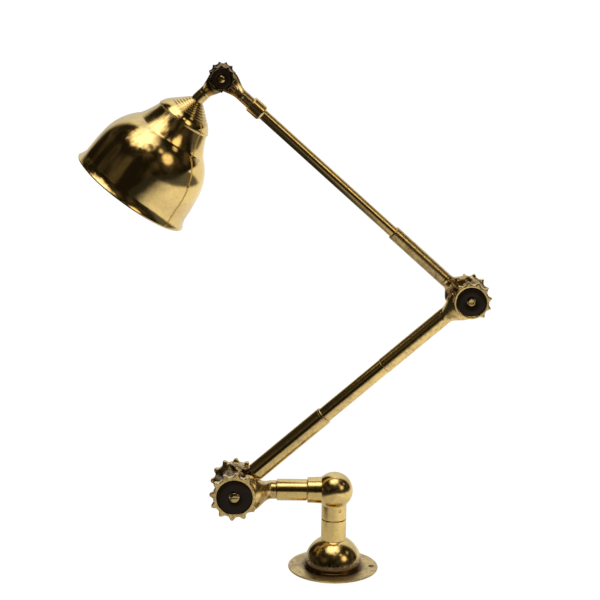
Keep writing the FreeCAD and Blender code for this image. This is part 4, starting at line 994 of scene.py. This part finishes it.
class WALLLIGHT_OT_lampholder(Operator):
    """Makes the lampholder, the ring that holds the shade, and the bulb"""
    bl_idname = "walllight.lampholder"
    bl_label = "Lampholder and bulb"

    def execute(self, context):
        low, high, radius = span("lampholder_cap", SHADE)
        inner = radius - 1.0
        cap = Outline(inner, low).lines(
            (radius, low, 0.1), (radius, high - 3.0, 1.2), (radius - 3.0, high, 1.2),
            (STEM_HOLE, high, 0.2), (STEM_HOLE, high - 6.0), (7.05, high - 6.0, 0.2),
            (7.05, high - 1.0), (inner - 3.0, high - 1.0), (inner, high - 4.0))
        piece("holder_cap", laid(cap.close().turned(), SHADE), "lampholder_cap")

        low, high, flange = span("lampholder_skirt", SHADE)
        skirt = Outline(radius - HOLDER_WALL, low, 0.4).line(radius, low, 0.8)
        for index in range(3):
            groove = low + 4.0 + 3.0 * index
            skirt = skirt.lines((radius, groove - 0.6, 0.2), (radius - 0.5, groove, 0.2),
                                (radius, groove + 0.6, 0.2))
        skirt = skirt.lines((radius, SEAM_HEIGHT, 0.2), (flange, SEAM_HEIGHT, 0.5),
                            (flange, high, 0.5), (radius - HOLDER_WALL, high))
        piece("holder_skirt", laid(skirt.close().turned(), SHADE), "lampholder_skirt")

        low, high, outer = span("shade_ring", SHADE)
        ring = Outline(radius + 0.05, low).lines(
            (outer, low), (outer, high), (radius + 0.05, high)).close()
        notches = [drill(outer * cos(index * pi / 4), outer * sin(index * pi / 4), low - 1.0,
                         high + 1.0, 1.6) for index in range(8)]
        piece("holder_ring", laid(carved(ring.turned(), notches, 0.35), SHADE), "shade_ring")

        low, high, radius = span("bulb_glass", SHADE)
        inner = radius - GLASS_WALL
        bore = GLASS_NECK - GLASS_WALL
        middle = low + radius
        bulge = GLASS_JOIN_BULGE * radius
        quarter = 1 - cos(pi / 4)
        bulb = Outline(0.0, low).arc(radius, middle, -radius * quarter, steps=24)
        bulb = bulb.arc(GLASS_JOIN * radius, middle + GLASS_JOIN_HEIGHT * radius, -bulge, steps=10)
        bulb = bulb.lines(
            (GLASS_NECK, high - 5.0, 0.8), (GLASS_NECK, high, 0.2), (bore, high),
            (bore, high - 5.0), (GLASS_JOIN * inner, middle + GLASS_JOIN_HEIGHT * inner))
        bulb = bulb.arc(inner, middle, bulge, steps=10)
        bulb = bulb.arc(0.0, low + GLASS_WALL, inner * quarter, steps=24)
        piece("bulb", laid(bulb.turned(), SHADE), "bulb_glass")
        return {"FINISHED"}


# Studio

def near_direction(tree, way, azimuth, elevation, wide, full):
    """A soft spot round a direction: 1 within the full angle, 0 beyond the wide one."""
    turn = radians(azimuth)
    rise = radians(elevation)
    aim = (sin(turn) * cos(rise), -cos(turn) * cos(rise), sin(rise))
    match = add(tree, "ShaderNodeVectorMath", {0: way, 1: aim}, operation="DOT_PRODUCT")
    return ramp(tree, match.outputs["Value"], cos(radians(wide)), cos(radians(full)), smooth=True)


def studio_world():
    """White for the camera. Metal sees a bright backdrop behind, a dim cluttered room in front
    and a broad soft light overhead, and what is matt is lit evenly."""
    world = bpy.data.worlds.new("studio")
    bpy.context.scene.world = world
    world.use_nodes = True
    tree = world.node_tree
    tree.nodes.clear()
    way = add(tree, "ShaderNodeTexCoord").outputs["Generated"]
    parts = split(tree, way)
    ground = most(tree, length(tree, across(tree, parts)), 0.02)
    back = calc(tree, "DIVIDE", parts["Y"], ground)
    side = calc(tree, "DIVIDE", most(tree, parts["X"], 0.0), ground)
    backdrop = ramp(tree, plus(tree, back, times(tree, side, 0.4)), 0.78, 0.93, smooth=True)
    backdrop_level = ramp(tree, parts["Z"], 0.05, 0.8, 0.66, 0.95)
    clutter = noise(tree, way, 2.2, 2.0, 0.5)
    room_level = ramp(tree, clutter, 0.45, 0.75, 0.012, 0.09, smooth=True)
    level = mix_values(tree, backdrop, room_level, backdrop_level)
    tint = mix_colours(tree, backdrop, (1.0, 0.80, 0.52), (0.97, 0.98, 1.0))
    for azimuth, elevation, wide, full, strength in (
            (52, 28, 13, 3, 1.8), (44, 45, 6, 1, 1.4), (84, 38, 6, 1, 1.0)):
        lamp = near_direction(tree, way, azimuth, elevation, wide, full)
        level = mix_values(tree, lamp, level, strength)
    key = near_direction(tree, frayed(tree, way), -10, 80, 31, 6)
    level = mix_values(tree, key, level, 2.4)
    tint = mix_colours(tree, key, tint, (1.0, 0.97, 0.92))
    path = add(tree, "ShaderNodeLightPath").outputs
    level = mix_values(tree, path["Is Diffuse Ray"], level, 0.72)
    level = mix_values(tree, path["Is Camera Ray"], level, 1.05)
    plain = most(tree, path["Is Diffuse Ray"], path["Is Camera Ray"])
    shine = add(tree, "ShaderNodeBackground", {
        "Color": mix_colours(tree, plain, tint, (1.0, 1.0, 1.0)), "Strength": level})
    output = tree.nodes.new("ShaderNodeOutputWorld")
    tree.links.new(shine.outputs[0], output.inputs["Surface"])


def frayed(tree, vector):
    """A vector with a little noise, which frays the edge of a light."""
    field = add(tree, "ShaderNodeTexNoise", {"Vector": vector, "Scale": 7.0, "Detail": 3.0})
    centred = joined(tree, "SUBTRACT", field.outputs["Color"], (0.5, 0.5, 0.5))
    return joined(tree, "ADD", vector, joined(tree, "MULTIPLY", centred, (0.25, 0.25, 0.25)))


def studio_floor():
    """A floor at the mounting face, far wider than the view. The camera sees white with a faint shadow, and near
    black beneath the flange, a painted shadow that shows through the screw holes. Metal sees a lit sheet of paper
    that ends in the dark of the room. Away from the base the camera and the lamps see through it, so an arm that
    swings low shows."""
    bm = bmesh.new()
    bmesh.ops.create_grid(bm, x_segments=1, y_segments=1, size=30.0)
    floor = solid("floor", bm)
    made = bpy.data.materials.new("floor white")
    made.use_nodes = True
    tree = made.node_tree
    tree.nodes.clear()
    white = add(tree, "ShaderNodeEmission", {"Color": (1, 1, 1, 1), "Strength": 1.13})
    path = add(tree, "ShaderNodeLightPath").outputs
    spot = add(tree, "ShaderNodeTexCoord").outputs["Object"]
    away = length(tree, spot)
    # Painted shadow: the floor beneath the flange's footprint is near black, and the camera sees it so through the
    # screw holes.
    clear_of_painted_shadow = ramp(tree, away, 0.0535, 0.0545)
    matt = add(tree, "ShaderNodeBsdfDiffuse", {
        "Color": mix_colours(tree, clear_of_painted_shadow, (0.03, 0.02, 0.01), (0.9, 0.9, 0.9))})
    seen = times(tree, path["Is Camera Ray"], times(tree, clear_of_painted_shadow, 0.75))
    for_camera = add(tree, "ShaderNodeMixShader", {0: seen, 1: matt.outputs[0],
                                                   2: white.outputs[0]})
    parts = split(tree, frayed(tree, spot))
    near = ramp(tree, parts["Y"], -2.6, -0.5, 0.0, 1.0)
    left = ramp(tree, parts["X"], -0.30, -0.14, smooth=True)
    left = times(tree, left, ramp(tree, parts["X"], -0.05, 0.2, 0.66, 1.15))
    right = ramp(tree, parts["X"], 0.75, 1.05, 1.0, 0.12, smooth=True)
    behind = ramp(tree, parts["Y"], 0.6, 1.2, smooth=True)
    sheet = times(tree, times(tree, near, left), right)
    level = most(tree, most(tree, times(tree, sheet, 0.92), behind), 0.03)
    mirrored = add(tree, "ShaderNodeEmission", {"Color": (1.0, 0.95, 0.86, 1), "Strength": level})
    mixed = add(tree, "ShaderNodeMixShader", {
        0: path["Is Glossy Ray"], 1: for_camera.outputs[0], 2: mirrored.outputs[0]})
    looked = most(tree, path["Is Camera Ray"], path["Is Shadow Ray"])
    open_floor = times(tree, looked, ramp(tree, away, 0.062, 0.085, smooth=True))
    through = add(tree, "ShaderNodeMixShader", {
        0: open_floor, 1: mixed.outputs[0], 2: add(tree, "ShaderNodeBsdfTransparent").outputs[0]})
    output = tree.nodes.new("ShaderNodeOutputMaterial")
    tree.links.new(through.outputs[0], output.inputs["Surface"])
    floor.data.materials.append(made)


def studio_key(power):
    """The long softbox overhead, a little in front of the light. Metal sees the soft light of
    the world in its place."""
    lamp = bpy.data.lights.new("key softbox", "AREA")
    lamp.shape = "RECTANGLE"
    lamp.size = 2.6
    lamp.size_y = 1.04
    lamp.energy = power
    key = bpy.data.objects.new("key softbox", lamp)
    bpy.context.scene.collection.objects.link(key)
    rise = radians(72.0)
    toward = Vector((0.0, -cos(rise), sin(rise)))
    key.location = Vector((-0.05, 0.0, 0.3)) + toward * 1.6
    key.rotation_euler = toward.to_track_quat("Z", "Y").to_euler()
    key.visible_camera = False
    key.visible_glossy = False


def studio_camera(settings):
    """The camera at the photograph's angle."""
    turn = radians(settings.azimuth)
    dip = radians(settings.elevation)
    ahead = Vector((sin(turn) * cos(dip), cos(turn) * cos(dip), -sin(dip)))
    right = Vector((cos(turn), -sin(turn), 0.0))
    above = right.cross(ahead)
    rolled = Matrix.Rotation(radians(settings.roll), 3, "Z")
    facing = Matrix((right, above, -ahead)).transposed() @ rolled
    lens = bpy.data.cameras.new("camera")
    lens.lens = settings.lens
    lens.sensor_width = 36.0
    lens.clip_start = 0.1
    lens.clip_end = 200.0
    camera = bpy.data.objects.new("camera", lens)
    bpy.context.scene.collection.objects.link(camera)
    camera.rotation_mode = "QUATERNION"
    camera.rotation_quaternion = facing.to_quaternion()
    camera.location = Vector(settings.target) - ahead * settings.distance
    bpy.context.scene.camera = camera


class WALLLIGHT_OT_studio(Operator):
    """Sets up the pale studio, its lamps and the camera"""
    bl_idname = "walllight.studio"
    bl_label = "Studio"

    def execute(self, context):
        settings = context.scene.wall_light_studio
        context.scene.view_settings.view_transform = "Standard"
        studio_world()
        studio_floor()
        studio_key(settings.key_power)
        studio_camera(settings)
        return {"FINISHED"}


class WALLLIGHT_PT_panel(Panel):
    """Lists the steps that dress the wall light"""
    bl_label = "Wall light"
    bl_space_type = "VIEW_3D"
    bl_region_type = "UI"
    bl_category = "Wall light"

    def draw(self, context):
        for settings in (context.scene.wall_light_finish, context.scene.wall_light_studio):
            for name in settings.__annotations__:
                self.layout.prop(settings, name)
        for step in STEPS:
            self.layout.operator(step.bl_idname)


STEPS = (WALLLIGHT_OT_finishes, WALLLIGHT_OT_base, WALLLIGHT_OT_stub, WALLLIGHT_OT_joints,
         WALLLIGHT_OT_arms, WALLLIGHT_OT_shade, WALLLIGHT_OT_lampholder, WALLLIGHT_OT_studio)
CLASSES = (WallLightFinish, WallLightStudio, *STEPS, WALLLIGHT_PT_panel)


def register():
    for each in CLASSES:
        bpy.utils.register_class(each)
    bpy.types.Scene.wall_light_finish = PointerProperty(type=WallLightFinish)
    bpy.types.Scene.wall_light_studio = PointerProperty(type=WallLightStudio)


def unregister():
    del bpy.types.Scene.wall_light_studio
    del bpy.types.Scene.wall_light_finish
    for each in reversed(CLASSES):
        bpy.utils.unregister_class(each)


def main():
    register()
    for step in STEPS:
        group_name, action = step.bl_idname.split(".")
        getattr(getattr(bpy.ops, group_name), action)()


if __name__ == "__main__":
    main()
